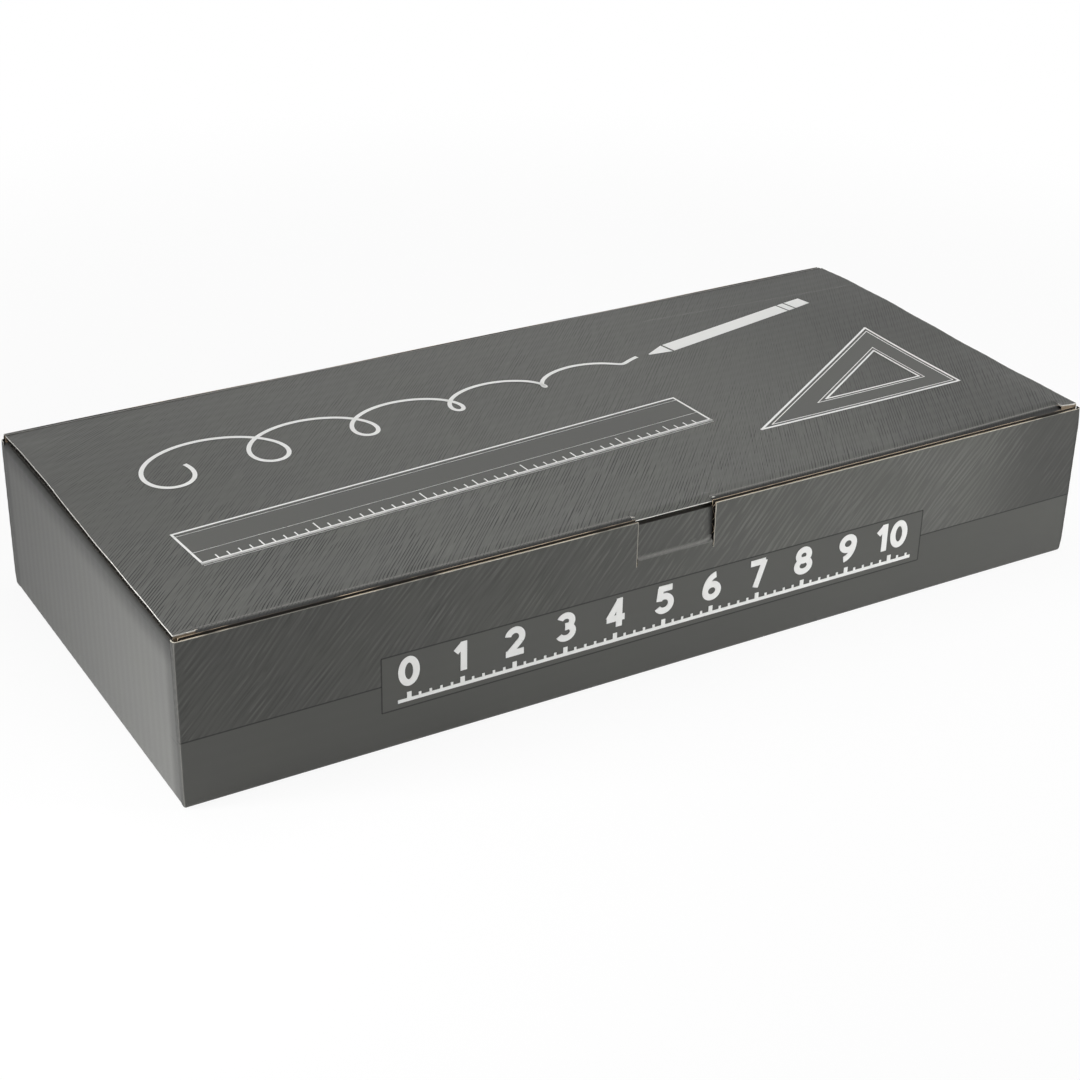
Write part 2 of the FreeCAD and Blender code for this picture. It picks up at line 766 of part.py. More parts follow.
def make_magnet():
    """The button magnet in its dimple: a plastic cap over a magnet disc."""
    at = ("dimple_place", "groove_y", "deck_top - dimple_depth + seat_gap")
    cap = new_body("magnet_cap")
    turned(cap, [
        ("disc_radius + disc_gap", "0"),
        ("magnet_radius", "0"),
        ("magnet_radius", "magnet_height - magnet_edge"),
        ("magnet_radius - magnet_edge", "magnet_height"),
        ("0", "magnet_height"),
        ("0", "disc_height + disc_gap"),
        ("disc_radius + disc_gap", "disc_height + disc_gap"),
    ], "XZ_Plane", "V_Axis")
    place(cap, at)
    disc = new_body("magnet_disc")
    turned(disc, [("0", "0"), ("disc_radius", "0"), ("disc_radius", "disc_height"), ("0", "disc_height")],
           "XZ_Plane", "V_Axis")
    place(disc, at)


def make_all():
    """Make every sub-part."""
    make_bottom()
    make_front_wall()
    make_back_wall()
    for word, side in SIDES.items():
        make_side(word, side)
        for end_word, end in ENDS.items():
            make_corner_flap(end_word, end, word, side)
    make_lid()
    make_tuck_flap()
    make_lock_tab()
    make_housing()
    for word, side in SIDES.items():
        make_foam_cap(word, side)
        make_board_end(word, side)
    make_base()
    make_screws()
    make_feet()
    make_panel("steel_sheet", "steel_margin", "steel_thickness", "glass_thickness")
    make_panel("writing_glass", "0", "glass_thickness", "0")
    make_marker()
    make_magnet()


def check_all():
    """Stop if any object of the document failed, or any sub-part has no sound shape."""
    doc.recompute()
    failed = [item.Label for item in doc.Objects if {"Invalid", "Error"} & set(item.State)]
    if failed:
        raise RuntimeError(f"failed: {failed}")
    for node in nodes:
        if node.Shape.isNull() or not node.Shape.isValid():
            raise RuntimeError(f"bad shape: {node.Label}")


def export_all():
    """Write each sub-part to its own file."""
    os.makedirs("parts", exist_ok=True)
    for node in nodes:
        node.Shape.exportStep(f"parts/{node.Label}.step")
        box = node.Shape.BoundBox
        print(f"{node.Label}: {len(node.Shape.Solids)} solids, {node.Shape.Volume:.0f} mm3,",
              f"X {box.XMin:.1f} {box.XMax:.1f}, Y {box.YMin:.1f} {box.YMax:.1f}, Z {box.ZMin:.1f} {box.ZMax:.1f}")


fill_sheet()
make_all()
check_all()
export_all()
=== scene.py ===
import json
import math

import bmesh
import bpy
import numpy as np
from bpy.props import FloatProperty, FloatVectorProperty, PointerProperty
from mathutils import Matrix, Vector


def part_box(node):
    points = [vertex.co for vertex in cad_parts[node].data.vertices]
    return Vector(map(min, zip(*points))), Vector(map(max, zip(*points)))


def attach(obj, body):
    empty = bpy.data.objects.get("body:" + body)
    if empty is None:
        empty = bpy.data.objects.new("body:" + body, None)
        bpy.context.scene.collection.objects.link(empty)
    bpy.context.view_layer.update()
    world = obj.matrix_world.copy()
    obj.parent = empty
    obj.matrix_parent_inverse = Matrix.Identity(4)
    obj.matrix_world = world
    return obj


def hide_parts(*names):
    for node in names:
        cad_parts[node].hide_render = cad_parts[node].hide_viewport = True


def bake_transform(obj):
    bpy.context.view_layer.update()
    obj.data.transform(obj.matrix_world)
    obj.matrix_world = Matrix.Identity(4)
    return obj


bl_info = {
    "name": "Mailer carton with a desk whiteboard",
    "version": (1, 0, 0),
    "blender": (4, 5, 0),
    "location": "View3D > Sidebar > Carton",
    "description": "Dresses the packed carton in folded corrugated board, print and finishes",
    "category": "Object",
}

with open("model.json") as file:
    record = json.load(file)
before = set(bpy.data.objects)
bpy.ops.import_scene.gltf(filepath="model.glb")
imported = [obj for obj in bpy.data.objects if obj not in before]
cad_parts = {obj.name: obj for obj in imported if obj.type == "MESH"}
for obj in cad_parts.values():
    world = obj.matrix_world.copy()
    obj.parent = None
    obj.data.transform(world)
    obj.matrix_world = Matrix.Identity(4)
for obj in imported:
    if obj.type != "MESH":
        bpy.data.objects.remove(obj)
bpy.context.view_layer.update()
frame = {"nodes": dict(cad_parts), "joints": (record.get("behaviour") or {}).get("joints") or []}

MM = 0.001
TAU = 2 * math.pi
QUARTER = math.pi / 2
WHITE = (1, 1, 1, 1)
SIDES = {"left": -1, "right": 1}
BOARD = 3 * MM  # thickness of the board that the tuck flap and the tab are cut from
CREASE_GAP = 0.3 * MM  # what the CAD leaves open between the two boards of a moving crease
ARC_STEPS = 8  # cuts of the arc at each corner of a rounded path
END_RUN = 0.5 * MM  # straight run of the liner behind a wall's upright fold
END_DEPTH = 2.94 * MM  # depth in the wall at which that run ends
FOLD_OPENING = 9 * MM  # height over which an upright fold opens out, at its foot and its top
TUCK_LEAN = math.radians(9)
WINDOW_HALF = 19.5 * MM  # half width of the window over the tab, in the lid's front and in the tuck flap
PRINT_LINE = 30.3 * MM  # height of the dark line that is printed round the walls
TONGUE, TONGUE_HALF = 50 * MM, 21 * MM  # a tongue's middle along the side board, and half its width


def corners(node):
    """Low and high corner of a CAD node at rest, in metres."""
    low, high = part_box(node)
    return np.array(low), np.array(high)


# Settings


class CartonSettings(bpy.types.PropertyGroup):
    """Sizes and colours of the folded board."""

    liner: FloatProperty(name="Outer liner", description="Thickness of the printed outer liner",
                         default=0.45 * MM, unit="LENGTH")
    inner_liner: FloatProperty(name="Inner liner", description="Thickness of the brown inner liner",
                               default=0.35 * MM, unit="LENGTH")
    medium: FloatProperty(name="Medium", description="Thickness of the waved paper between the liners",
                          default=0.25 * MM, unit="LENGTH")
    pitch: FloatProperty(name="Flute pitch", description="Distance from one flute to the next",
                         default=6.4 * MM, unit="LENGTH")
    wash: FloatProperty(name="Washboard", description="Depth to which the liner sinks between two flutes",
                        default=0.05 * MM, unit="LENGTH")
    fold: FloatProperty(name="Fold radius", description="Radius of the outer liner at a fold",
                        default=2.6 * MM, unit="LENGTH")
    chip: FloatProperty(name="Chipped edge", description="Width of the white line where the print is cut",
                        default=0.3 * MM, unit="LENGTH")
    bow: FloatProperty(name="Lid bow", description="How far the lid's free side edges lift",
                       default=1.3 * MM, unit="LENGTH")
    print_colour: FloatVectorProperty(name="Print", description="Grey of the hatched print", subtype="COLOR",
                                      default=(0.071, 0.071, 0.067))
    side_colour: FloatVectorProperty(name="Side print", description="Grey of the plain side walls", subtype="COLOR",
                                     default=(0.095, 0.095, 0.092))
    plain_colour: FloatVectorProperty(name="Plain fields", description="Grey of the unhatched fields on the lid",
                                      subtype="COLOR", default=(0.074, 0.0745, 0.070))
    paper_colour: FloatVectorProperty(name="White paper", description="Colour of the cut edge of the printed paper",
                                      subtype="COLOR", default=(0.68, 0.67, 0.63))
    kraft_colour: FloatVectorProperty(name="Kraft", description="Brown of the inner liner", subtype="COLOR",
                                      default=(0.40, 0.29, 0.19))
    ink_colour: FloatVectorProperty(name="White ink", description="Colour of the printed lines", subtype="COLOR",
                                    default=(0.84, 0.84, 0.82))


class ContentSettings(bpy.types.PropertyGroup):
    """Colours of what is packed in the carton."""

    foam_colour: FloatVectorProperty(name="Foam", description="Colour of the end caps", subtype="COLOR",
                                     default=(0.80, 0.80, 0.79))
    shell_colour: FloatVectorProperty(name="Shell", description="Colour of the whiteboard's shell", subtype="COLOR",
                                      default=(0.78, 0.78, 0.77))
    glass_colour: FloatVectorProperty(name="Glass", description="Colour of the white-backed glass", subtype="COLOR",
                                      default=(0.84, 0.86, 0.86))
    black_colour: FloatVectorProperty(name="Black plastic", description="Colour of the cap and the end plug",
                                      subtype="COLOR", default=(0.022, 0.022, 0.024))
    bevel: FloatProperty(name="Edge softness", description="Width of the rounding on moulded edges",
                         default=0.6 * MM, unit="LENGTH")


class StageSettings(bpy.types.PropertyGroup):
    """Where the camera stands, and how strong the light is."""

    azimuth: FloatProperty(name="Azimuth", description="Turn of the camera about the upright, from the front",
                           default=math.radians(-30.806), subtype="ANGLE")
    elevation: FloatProperty(name="Elevation", description="Height of the camera over the horizon",
                             default=math.radians(28.104), subtype="ANGLE")
    roll: FloatProperty(name="Roll", description="Turn of the camera about its own line of sight",
                        default=math.radians(1.271), subtype="ANGLE")
    distance: FloatProperty(name="Distance", description="From the carton's base to the camera",
                            default=0.9966, unit="LENGTH")
    shift_right: FloatProperty(name="Right", description="How far the camera stands to its right",
                               default=-4.82 * MM, unit="LENGTH")
    shift_up: FloatProperty(name="Up", description="How far the camera stands above its line to the base",
                            default=12.49 * MM, unit="LENGTH")
    lens: FloatProperty(name="Lens", description="Focal length on a 36 mm sensor, in millimetres", default=72.14)
    sky: FloatProperty(name="Sky", description="Strength of the even light from all round", default=0.235)
    key: FloatProperty(name="Key light", description="Power of the softbox on the left", default=0.72, unit="POWER")
    top: FloatProperty(name="Top light", description="Power of the softbox overhead", default=7.7, unit="POWER")
    side: FloatProperty(name="Side light", description="Power of the softbox on the front right", default=0.94,
                        unit="POWER")


# Surfaces of two parameters


def places(values, step):
    """Rising places that include every given value, each stretch between them cut evenly into at most one step."""
    values = np.unique(np.round(values, 7))
    runs = [np.linspace(a, b, int(np.ceil((b - a) / step - 1e-6)) + 1)[:-1] for a, b in zip(values, values[1:])]
    return np.concatenate(runs + [values[-1:]])


def unit(vectors):
    """Vectors scaled to length one."""
    return vectors / np.linalg.norm(vectors, axis=-1, keepdims=True)


def eased_step(share):
    """A share that is kept between 0 and 1 and eased at both ends: 3 s^2 - 2 s^3."""
    share = np.clip(share, 0, 1)
    return share * share * (3 - 2 * share)


def mirrored(*values):
    """Each value and its negative."""
    return [sign * value for value in values for sign in (-1, 1)]


def left_of(spots, edge_order=2):
    """Unit normals on the left of a path in a plane. Its direction is the difference of each place's neighbours,
    and at its two ends a one-sided difference of the given order, as far as the path has places for that."""
    ahead = unit(np.gradient(spots, axis=0, edge_order=min(edge_order, len(spots) - 1)))
    return np.stack([-ahead[:, 1], ahead[:, 0]], axis=-1)


def flat(origin, across, along):
    """A flat face: origin + u * across + v * along, less the depth along their cross product."""
    origin, across, along = (np.array(item, float) for item in (origin, across, along))
    normal = np.cross(across, along)

    def at(u, v, depth):
        inward = np.broadcast_to(depth, u.shape)[..., None] * normal
        return origin + u[..., None] * across + v[..., None] * along - inward
    return at


def wrapped(half, base, out, low, high, radius, folded_top=False):
    """A wall's face that turns back at its ends and its foot, and at its top if that is folded too.

    Along x and z each, a place is kept to the flat part, and what is over it becomes an angle of up to a quarter
    turn about the fold, and past that a straight run inwards. The point is the kept place plus each fold's radius,
    less the depth, along the normal that the two angles give. The upright folds are a fifth as wide as the level
    ones and open out towards the top and the foot, and their straight runs all end at the same depth, just short of
    the side board. With out = -1 the face looks to -Y and u runs to +X, and with out = 1 it looks to +Y and u runs
    to -X."""
    tight, opened = 0.22, 0.42

    def at(u, v, depth):
        z = np.clip(v, low + radius, high - radius if folded_top else high)
        near_end = eased_step(1 - (high - z) / FOLD_OPENING) + eased_step(1 - (z - low) / FOLD_OPENING)
        corner = radius * (tight + opened * near_end)
        x = np.clip(u, corner - half, half - corner)
        turn, dip = np.clip((u - x) / corner, -QUARTER, QUARTER), np.clip((v - z) / radius, -QUARTER, QUARTER)
        longest = END_RUN + (radius - corner) * (QUARTER - 1)
        inward = np.maximum(np.abs(u - x) - corner * QUARTER, 0) * (END_DEPTH - corner) / longest \
            + np.maximum(np.abs(v - z) - radius * QUARTER, 0)
        outward = ((corner - depth) * np.cos(turn) - corner) * np.cos(dip) + radius * (np.cos(dip) - 1) - inward
        return np.stack([-out * (x + (corner - depth) * np.sin(turn) * np.cos(dip)), base + out * outward,
                         z + (radius - depth) * np.sin(dip)], axis=-1)
    return at


def rounded_path(points, radius):
    """A path of straight runs whose corners are arcs of one radius: its points, left-hand normals and lengths.

    Each corner's arc starts radius * tan(half the turn) before it, about a centre on the right of the path."""
    points = np.array(points, float)
    spots, normals = [points[:1]], []
    for before, corner, after in zip(points, points[1:], points[2:]):
        come, go = unit(corner - before), unit(after - corner)
        turn = math.atan2(come[0] * go[1] - come[1] * go[0], come @ go) * np.linspace(0, 1, ARC_STEPS + 1)
        side = np.array([-come[1], come[0]])
        turned = np.stack([side[0] * np.cos(turn) - side[1] * np.sin(turn),
                           side[0] * np.sin(turn) + side[1] * np.cos(turn)], axis=-1)
        start = corner - come * radius * math.tan(abs(turn[-1]) / 2)
        spots.append(start - side * radius + turned * radius)
        normals.append(turned)
    normals = np.concatenate([normals[0][:1], *normals, normals[-1][-1:]])
    spots = np.concatenate(spots + [points[-1:]])
    lengths = np.concatenate([[0], np.cumsum(np.linalg.norm(np.diff(spots, axis=0), axis=1))])
    return spots, normals, lengths


def along_path(path, v, depth):
    """Place on a rounded path at length v, moved by the depth against the path's normal."""
    spots, normals, lengths = path
    spot = np.stack([np.interp(v, lengths, spots[:, axis]) for axis in (0, 1)], axis=-1)
    normal = unit(np.stack([np.interp(v, lengths, normals[:, axis]) for axis in (0, 1)], axis=-1))
    return spot - np.broadcast_to(depth, v.shape)[..., None] * normal


def handed_over(name, mesh, body, slot, replaced):
    """Make the object of a mesh, and let it ride on its body when that is one name, and stand for its nodes."""
    obj = bpy.data.objects.new(name, mesh)
    bpy.context.scene.collection.objects.link(obj)
    if isinstance(body, str):
        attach(obj, body)
    else:
        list(body)
        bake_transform(obj)
    if replaced:
        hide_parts(*replaced)
    return obj


class Shape:
    """What a piece is made of so far: points, quads, a material number for each quad, and each point's own place on
    the flat blank, with its wear and painted light as a third number."""

    def __init__(self):
        self.points, self.quads, self.skins, self.blanks, self.count = [], [], [], [], 0

    def add(self, points, quads, skins, blanks):
        """Add loose points and quads, dropping the points that no quad uses."""
        used, quads = np.unique(quads, return_inverse=True)
        self.points.append(points.reshape(-1, 3)[used])
        self.blanks.append(blanks.reshape(-1, 3)[used])
        self.quads.append(quads.reshape(-1, 4) + self.count)
        self.skins.append(skins)
        self.count += len(used)

    def add_sheet(self, front, back, blank, keep=None, skins=(0, 1, 2), chipped=None):
        """Add a closed sheet between two grids of points: both faces, and a rim along every edge of the kept cells.

        The cross product of the grid's first and second direction points out of the front. Chipped cells of the
        front take the rim's material."""
        rows, columns = front.shape[:2]
        keep = np.ones((rows - 1, columns - 1), bool) if keep is None else keep
        index = np.arange(rows * columns).reshape(rows, columns)
        corner = [index[:-1, :-1], index[1:, :-1], index[1:, 1:], index[:-1, 1:]]
        top = np.stack(corner, axis=-1)[keep]
        framed = np.pad(keep, 1)
        beside = [framed[1:-1, :-2], framed[2:, 1:-1], framed[1:-1, 2:], framed[:-2, 1:-1]]
        rims = []
        for side in range(4):
            bare = keep & ~beside[side]
            first, second = corner[side][bare], corner[(side + 1) % 4][bare]
            rims.append(np.stack([second, first, first + index.size, second + index.size], axis=-1))
        rims = np.concatenate(rims)
        face = np.full(keep.shape, skins[0])
        if chipped is not None:
            face[chipped] = skins[1]
        quads = np.concatenate([top, top[:, ::-1] + index.size, rims])
        skin = np.concatenate([face[keep], np.full(len(top), skins[2]), np.full(len(rims), skins[1])])
        self.add(np.concatenate([front.reshape(-1, 3), back.reshape(-1, 3)]), quads, skin,
                 np.concatenate([blank.reshape(-1, 3)] * 2))

    def piece(self, name, body, finishes, slot, replaced=()):
        """Make the mesh object of the shape, and hand it over."""
        mesh = bpy.data.meshes.new(name)
        mesh.from_pydata(np.concatenate(self.points).tolist(), [], np.concatenate(self.quads).tolist())
        mesh.attributes.new("blank", "FLOAT_VECTOR", "POINT").data.foreach_set(
            "vector", np.concatenate(self.blanks).astype(np.float32).ravel())
        mesh.polygons.foreach_set("material_index", np.concatenate(self.skins).astype(np.int32))
        mesh.polygons.foreach_set("use_smooth", np.ones(len(mesh.polygons), bool))
        mesh.set_sharp_from_angle(angle=math.radians(35))
        for finish in finishes:
            mesh.materials.append(finish)
        return handed_over(name, mesh, body, slot, replaced)


# Boards


def middle(values):
    """The middles between neighbouring values."""
    return (values[1:] + values[:-1]) / 2


def cells(u, v, rule):
    """Ask a rule about the middle of every cell of a grid."""
    if rule is None:
        return None
    across, along = np.meshgrid(middle(u), middle(v), indexing="ij")
    return rule(across, along)


def blank_of(across, along, shift=(0, 0), wear=0.0):
    """Each point's place on the flat blank, and its wear and painted light."""
    return np.stack([across + shift[0], along + shift[1], np.broadcast_to(wear, across.shape)], axis=-1)


def ripple(across, along):
    """Unevenness of a board, as a depth: three crossed sines over several centimetres, from 0 to 0.15 mm."""
    waves = np.sin(across * 41 + 1.3) + np.sin(along * 57 + across * 17) + np.sin(across * 23 - along * 31 + 4)
    return 0.025 * MM * (waves + 3)


def add_liner(shape, at, u, v, board, flutes="u", keep=None, chip=None, shift=(0, 0), wear=None, washed=None):
    """Add the printed outer liner: its face sinks between the flutes by half a cosine of the flute pitch."""
    across, along = np.meshgrid(u, v, indexing="ij")
    run = along if flutes == "u" else across
    sink = board.wash * (0.5 - 0.5 * np.cos(TAU * run / board.pitch)) + ripple(across, along)
    if washed:
        sink = sink * washed(across, along)
    worn = 0.0 if wear is None else wear(across, along)
    # The liner's back, inside the board, takes the fifth skin: near-black painted shade.
    shape.add_sheet(at(across, along, sink), at(across, along, board.liner), blank_of(across, along, shift, worn),
                    cells(u, v, keep), (0, 1, 4), cells(u, v, chip))


def add_core(shape, at, u, v, board, thick, flutes="u", keep=None, shift=(0, 0), phase=0.0):
    """Add the waved medium and the inner liner. The medium's depth is the middle of the board plus a sine of the
    flute pitch, which starts at a phase in turns and wanders by a tenth of a turn along the flutes."""
    middle_depth = (thick + board.liner - board.inner_liner - board.medium) / 2
    swing = (thick - board.liner - board.inner_liner - board.medium) / 2
    fine_u, fine_v = u, v
    if flutes == "u":
        fine_v = [*places([v[0], v[-1]], board.pitch / 10), *v]
    else:
        fine_u = [*places([u[0], u[-1]], board.pitch / 10), *u]
    fine_u, fine_v = (np.unique(np.round(values, 7)) for values in (fine_u, fine_v))
    across, along = np.meshgrid(fine_u, fine_v, indexing="ij")
    run, side = (along, across) if flutes == "u" else (across, along)
    depth = middle_depth + swing * np.sin(TAU * (run / board.pitch + phase) + 0.6 * np.sin(side * 37 + 2))
    # The medium, and the inner liner's face towards it, take the fifth skin: near-black painted shade between the
    # flutes.
    shape.add_sheet(at(across, along, depth), at(across, along, depth + board.medium),
                    blank_of(across, along, shift), cells(fine_u, fine_v, keep), (4, 3, 4))
    across, along = np.meshgrid(u, v, indexing="ij")
    shape.add_sheet(at(across, along, thick - board.inner_liner), at(across, along, thick),
                    blank_of(across, along, shift), cells(u, v, keep), (4, 3, 2))


def add_board(shape, at, u, v, board, thick, **options):
    """Add all three layers of one board."""
    core = {key: options[key] for key in ("flutes", "keep", "shift") if key in options}
    add_liner(shape, at, u, v, board, **options)
    add_core(shape, at, u, v, board, thick, **core)


# Nodes of a material


class Number:
    """A number that varies over a surface. It wraps a socket, and Python's operators add Math nodes to it."""

    def __init__(self, finish, socket):
        self.finish, self.socket = finish, socket

    def math(self, operation, first, second=0.0):
        """Add one Math node of one or two inputs."""
        return self.finish.number("ShaderNodeMath", {"operation": operation}, {0: first, 1: second})

    def __add__(self, other):
        return self.math("ADD", self, other)

    def __sub__(self, other):
        return self.math("SUBTRACT", self, other)

    def __rsub__(self, other):
        return self.math("SUBTRACT", other, self)

    def __mul__(self, other):
        return self.math("MULTIPLY", self, other)

    def __truediv__(self, other):
        return self.math("DIVIDE", self, other)

    def __gt__(self, other):
        return self.math("GREATER_THAN", self, other)

    def __lt__(self, other):
        return self.math("LESS_THAN", self, other)

    def __abs__(self):
        return self.math("ABSOLUTE", self)

    def sine(self):
        """The sine of the number, in radians."""
        return self.math("SINE", self)

    def at_least(self, low):
        """The number, or a lower limit where that is larger."""
        return self.math("MAXIMUM", self, low)

    def at_most(self, high):
        """The number, or an upper limit where that is smaller."""
        return self.math("MINIMUM", self, high)

    __radd__ = __add__
    __rmul__ = __mul__


class Finish:
    """One material, or the world, under construction."""

    def __init__(self, name, kind="materials"):
        self.owner = getattr(bpy.data, kind).new(name)
        self.owner.use_nodes = True
        self.tree = self.owner.node_tree
        self.tree.nodes.clear()

    def node(self, kind, settings=None, sockets=None):
        """Add a node of a type. Its settings are made first, and then its sockets, each of which takes a value or a
        link."""
        node = self.tree.nodes.new(kind)
        for name, value in (settings or {}).items():
            setattr(node, name, value)
        for name, value in (sockets or {}).items():
            socket = node.inputs[name]
            value = getattr(value, "socket", value)
            if isinstance(value, bpy.types.NodeSocket):
                self.tree.links.new(value, socket)
            else:
                socket.default_value = value
        return node

    def number(self, kind, settings=None, sockets=None):
        """Add a node and wrap its first output as a number."""
        return Number(self, self.node(kind, settings, sockets).outputs[0])

    def mixed(self, factor, first, second):
        """Mix two colours."""
        return self.node("ShaderNodeMix", {"data_type": "RGBA"}, {0: factor, 6: first, 7: second}).outputs[2]

    def eased(self, value, low, high):
        """A number that eases from 0 to 1 as another goes from low to high."""
        return self.number("ShaderNodeMapRange", {"interpolation_type": "SMOOTHSTEP"},
                           {"Value": value, "From Min": low, "From Max": high})

    def steps(self, value, *steps):
        """A sum of eased steps, each of an amount that comes in between two places in millimetres."""
        return sum(self.eased(value, low * MM, high * MM) * amount for amount, low, high in steps)

    def object_place(self):
        """Each point's own coordinates."""
        return self.node("ShaderNodeTexCoord").outputs["Object"]

    def blank_place(self):
        """Each point's place on the flat blank."""
        return self.node("ShaderNodeAttribute", {"attribute_name": "blank"}).outputs["Vector"]

    def parts(self, vector):
        """The three parts of a vector, as numbers."""
        node = self.node("ShaderNodeSeparateXYZ", None, {0: vector})
        return [Number(self, output) for output in node.outputs]

    def noise(self, place, size, detail=2.0, roughness=0.5, offset=(0, 0, 0), turn=0.0, distortion=0.0):
        """Noise whose grain has a size along each of three axes, turned by an angle in the plane of the first two."""
        size = size if isinstance(size, tuple) else (size, size, size)
        laid = self.node("ShaderNodeMapping", {"vector_type": "TEXTURE"},
                         {"Vector": place, "Location": offset, "Rotation": (0, 0, turn), "Scale": size})
        return self.number("ShaderNodeTexNoise", None, {"Vector": laid.outputs[0], "Scale": 1.0, "Detail": detail,
                                                        "Roughness": roughness, "Distortion": distortion})

    def bump(self, height, distance):
        """The normal that a height gives."""
        return self.node("ShaderNodeBump", None, {"Height": height, "Distance": distance, "Strength": 1.0}).outputs[0]

    def output(self, shader, kind="Material"):
        """Send a shader to the surface, and hand back the finished material or world."""
        self.node(f"ShaderNodeOutput{kind}", None, {"Surface": shader.outputs[0]})
        return self.owner

    def blended(self, factor, first, second, kind="Material"):
        """Finish with a mix of two shaders."""
        sockets = {0: factor, 1: first.outputs[0], 2: second.outputs[0]}
        return self.output(self.node("ShaderNodeMixShader", None, sockets), kind)

    def close(self, **sockets):
        """Finish the material with one shader, whose sockets take values or links."""
        sockets = {name.replace("_", " "): value for name, value in sockets.items()}
        return self.output(self.node("ShaderNodeBsdfPrincipled", None, sockets))


def rgba(colour, scale=1.0):
    """A colour of three numbers, scaled, with full cover."""
    return (*(channel * scale for channel in colour), 1.0)


def strokes(finish, place, angles, shares, pitch, length, mark, crest=(0.1, 0.95)):
    """Ruled strokes, from about -0.5 to 0.5: parallel lines along the crests of a sine of one pitch, whose phase
    wanders slowly and whose strength comes and goes along each line, with fine long grains over them. The lines are
    darker or lighter as the mark is below or over nought, and soft where the crest starts low. Each further angle
    takes over by its own share."""
    total = None
    for order, (angle, share) in enumerate(zip(angles, [1, *shares])):
        turn, lift = math.radians(angle), 3.7 * order
        laid = finish.node("ShaderNodeMapping", {"vector_type": "TEXTURE"},
                           {"Vector": place, "Rotation": (0, 0, turn)})
        across = finish.parts(laid.outputs[0])[1]
        wander = finish.noise(place, (140 * MM, 5 * MM, 1), 1.0, 0.5, (0, 0, lift), turn)
        wave = ((across / pitch + wander * 1.6) * TAU).sine()
        held = finish.eased(finish.noise(place, (length, pitch, 1), 1.0, 0.5, (0, 0, lift + 1), turn), 0.30, 0.54)
        grain = finish.noise(place, (1.2 * length, 0.3 * pitch, 1), 1.0, 0.5, (0, 0, lift + 2), turn)
        layer = finish.eased(wave, *crest) * held * mark + (grain - 0.5) * 0.45
        total = layer if total is None else total * (1 - share) + layer * share
    return total


def line_at(value, at, width=0.65 * MM):
    """One along a thin line where a number equals a given value, and nought elsewhere."""
    return abs(value - at) < width / 2


def hatched(finish, place, tone, stroke, strength, dark, light):
    """A tone under strokes: one below nought darkens it, and one over nought lightens it, each by its own share and
    by a strength that comes and goes over some centimetres."""
    strength = strength * (0.60 + 0.65 * finish.eased(finish.noise(place, 26 * MM, 2.0), 0.35, 0.65))
    return tone * (1.04 - finish.eased(stroke, 0.0, -0.30) * strength * dark
                   + finish.eased(stroke, 0.02, 0.32) * strength * light)


def lid_tone(finish, place, tone):
    """The lid's print: fine strokes that turn from 34 to 60 degrees across it, over a tone that fades to the right."""
    u, v, _ = finish.parts(place)
    slant = u - v * 0.8
    shares = [finish.eased(slant, -500 * MM, -400 * MM), finish.eased(slant, -200 * MM, -60 * MM)]
    stroke = strokes(finish, place, (34, 47, 60), shares, 1.2 * MM, 15 * MM, -0.40) + 0.10
    tone = tone * (1 + finish.steps(u, (0.19, -190, -70), (-0.42, 60, 190)))
    strength = (1.15 + finish.steps(v, (-0.52, 235, 300))) * (1.35 + finish.steps(u, (-0.35, -200, -110)))
    return hatched(finish, place, tone, stroke, strength, 0.66, 0.40)


def ruled_tone(finish, place, tone, framed):
    """A wall's print: coarse strokes down to a dark line, and a plain field under it. A framed wall has a thin frame
    too, round a plain field that covers the strokes and the line. Painted shade darkens both ends, where the print
    turns round the upright folds, and painted light and shade along the strokes make them lighter in the middle and
    darker towards the ends."""
    u, v, _ = finish.parts(place)
    taken_over = finish.eased(finish.noise(place, 45 * MM, 1.0), 0.45, 0.6)
    stroke = strokes(finish, place, (51, 46), [taken_over], 2.5 * MM, 13 * MM, 0.30, (-0.5, 0.8)) - 0.15
    stroke = stroke + finish.steps(u, (0.21, -110, 110), (-0.20, 165, 212))
    outside, lines = 1.0, line_at(v, PRINT_LINE)
    if framed:
        left, right, low, high = -136 * MM, 132 * MM, 18 * MM, 43 * MM
        beside, level = (v > low) * (v < high), (u > left) * (u < right)
        outside = 1 - beside * level
        lines = (line_at(u, left) + line_at(u, right)) * beside + (line_at(v, low) + line_at(v, high)) * level \
            + lines * outside
    hatch = (v > PRINT_LINE) * outside
    # The dark line, and painted shade at both ends where the print turns round the upright folds.
    tone = tone * (1 - lines * 0.70) * (1 + finish.steps(u, (-0.35, 217.6, 219.4), (-0.48, -220.0, -220.5)))
    # Painted light and shade along the strokes: lighter in the middle, darker towards both ends and most to the right.
    painted_light_slope = finish.steps(u, (0.17, -20, 55), (-0.46, 150, 200), (-0.12, -110, -200))
    tone = tone * (1 + painted_light_slope * hatch) * (1.08 - 0.08 * outside)
    strength = 1 + finish.steps(u, (-0.20, 0, 90))
    return hatched(finish, place, tone, stroke * hatch, strength, 0.32, 0.46)


def side_tone(finish, place, tone):
    """A side's print: plain, and darker with the end of the line near its upright folds. Over it lie painted shade
    under the top, beneath the lid's edge, painted shade towards the upright folds, and painted light that brightens
    it towards the foot.
    """
    u, v, _ = finish.parts(place)
    away = abs(u)
    tone = tone * (1 - line_at(v, PRINT_LINE) * finish.eased(away, 88 * MM, 95 * MM) * 0.3)
    # Painted shade towards the upright folds.
    tone = tone * (1 + finish.steps(away, (-0.40, 89, 94.5)))
    # Painted shade under the top, beneath the lid's edge, and painted light that brightens the side towards the foot.
    return tone * (0.34 + finish.steps(v, (0.66, 75, 60))) * (1.05 + finish.steps(v, (-0.10, 5, 60)))


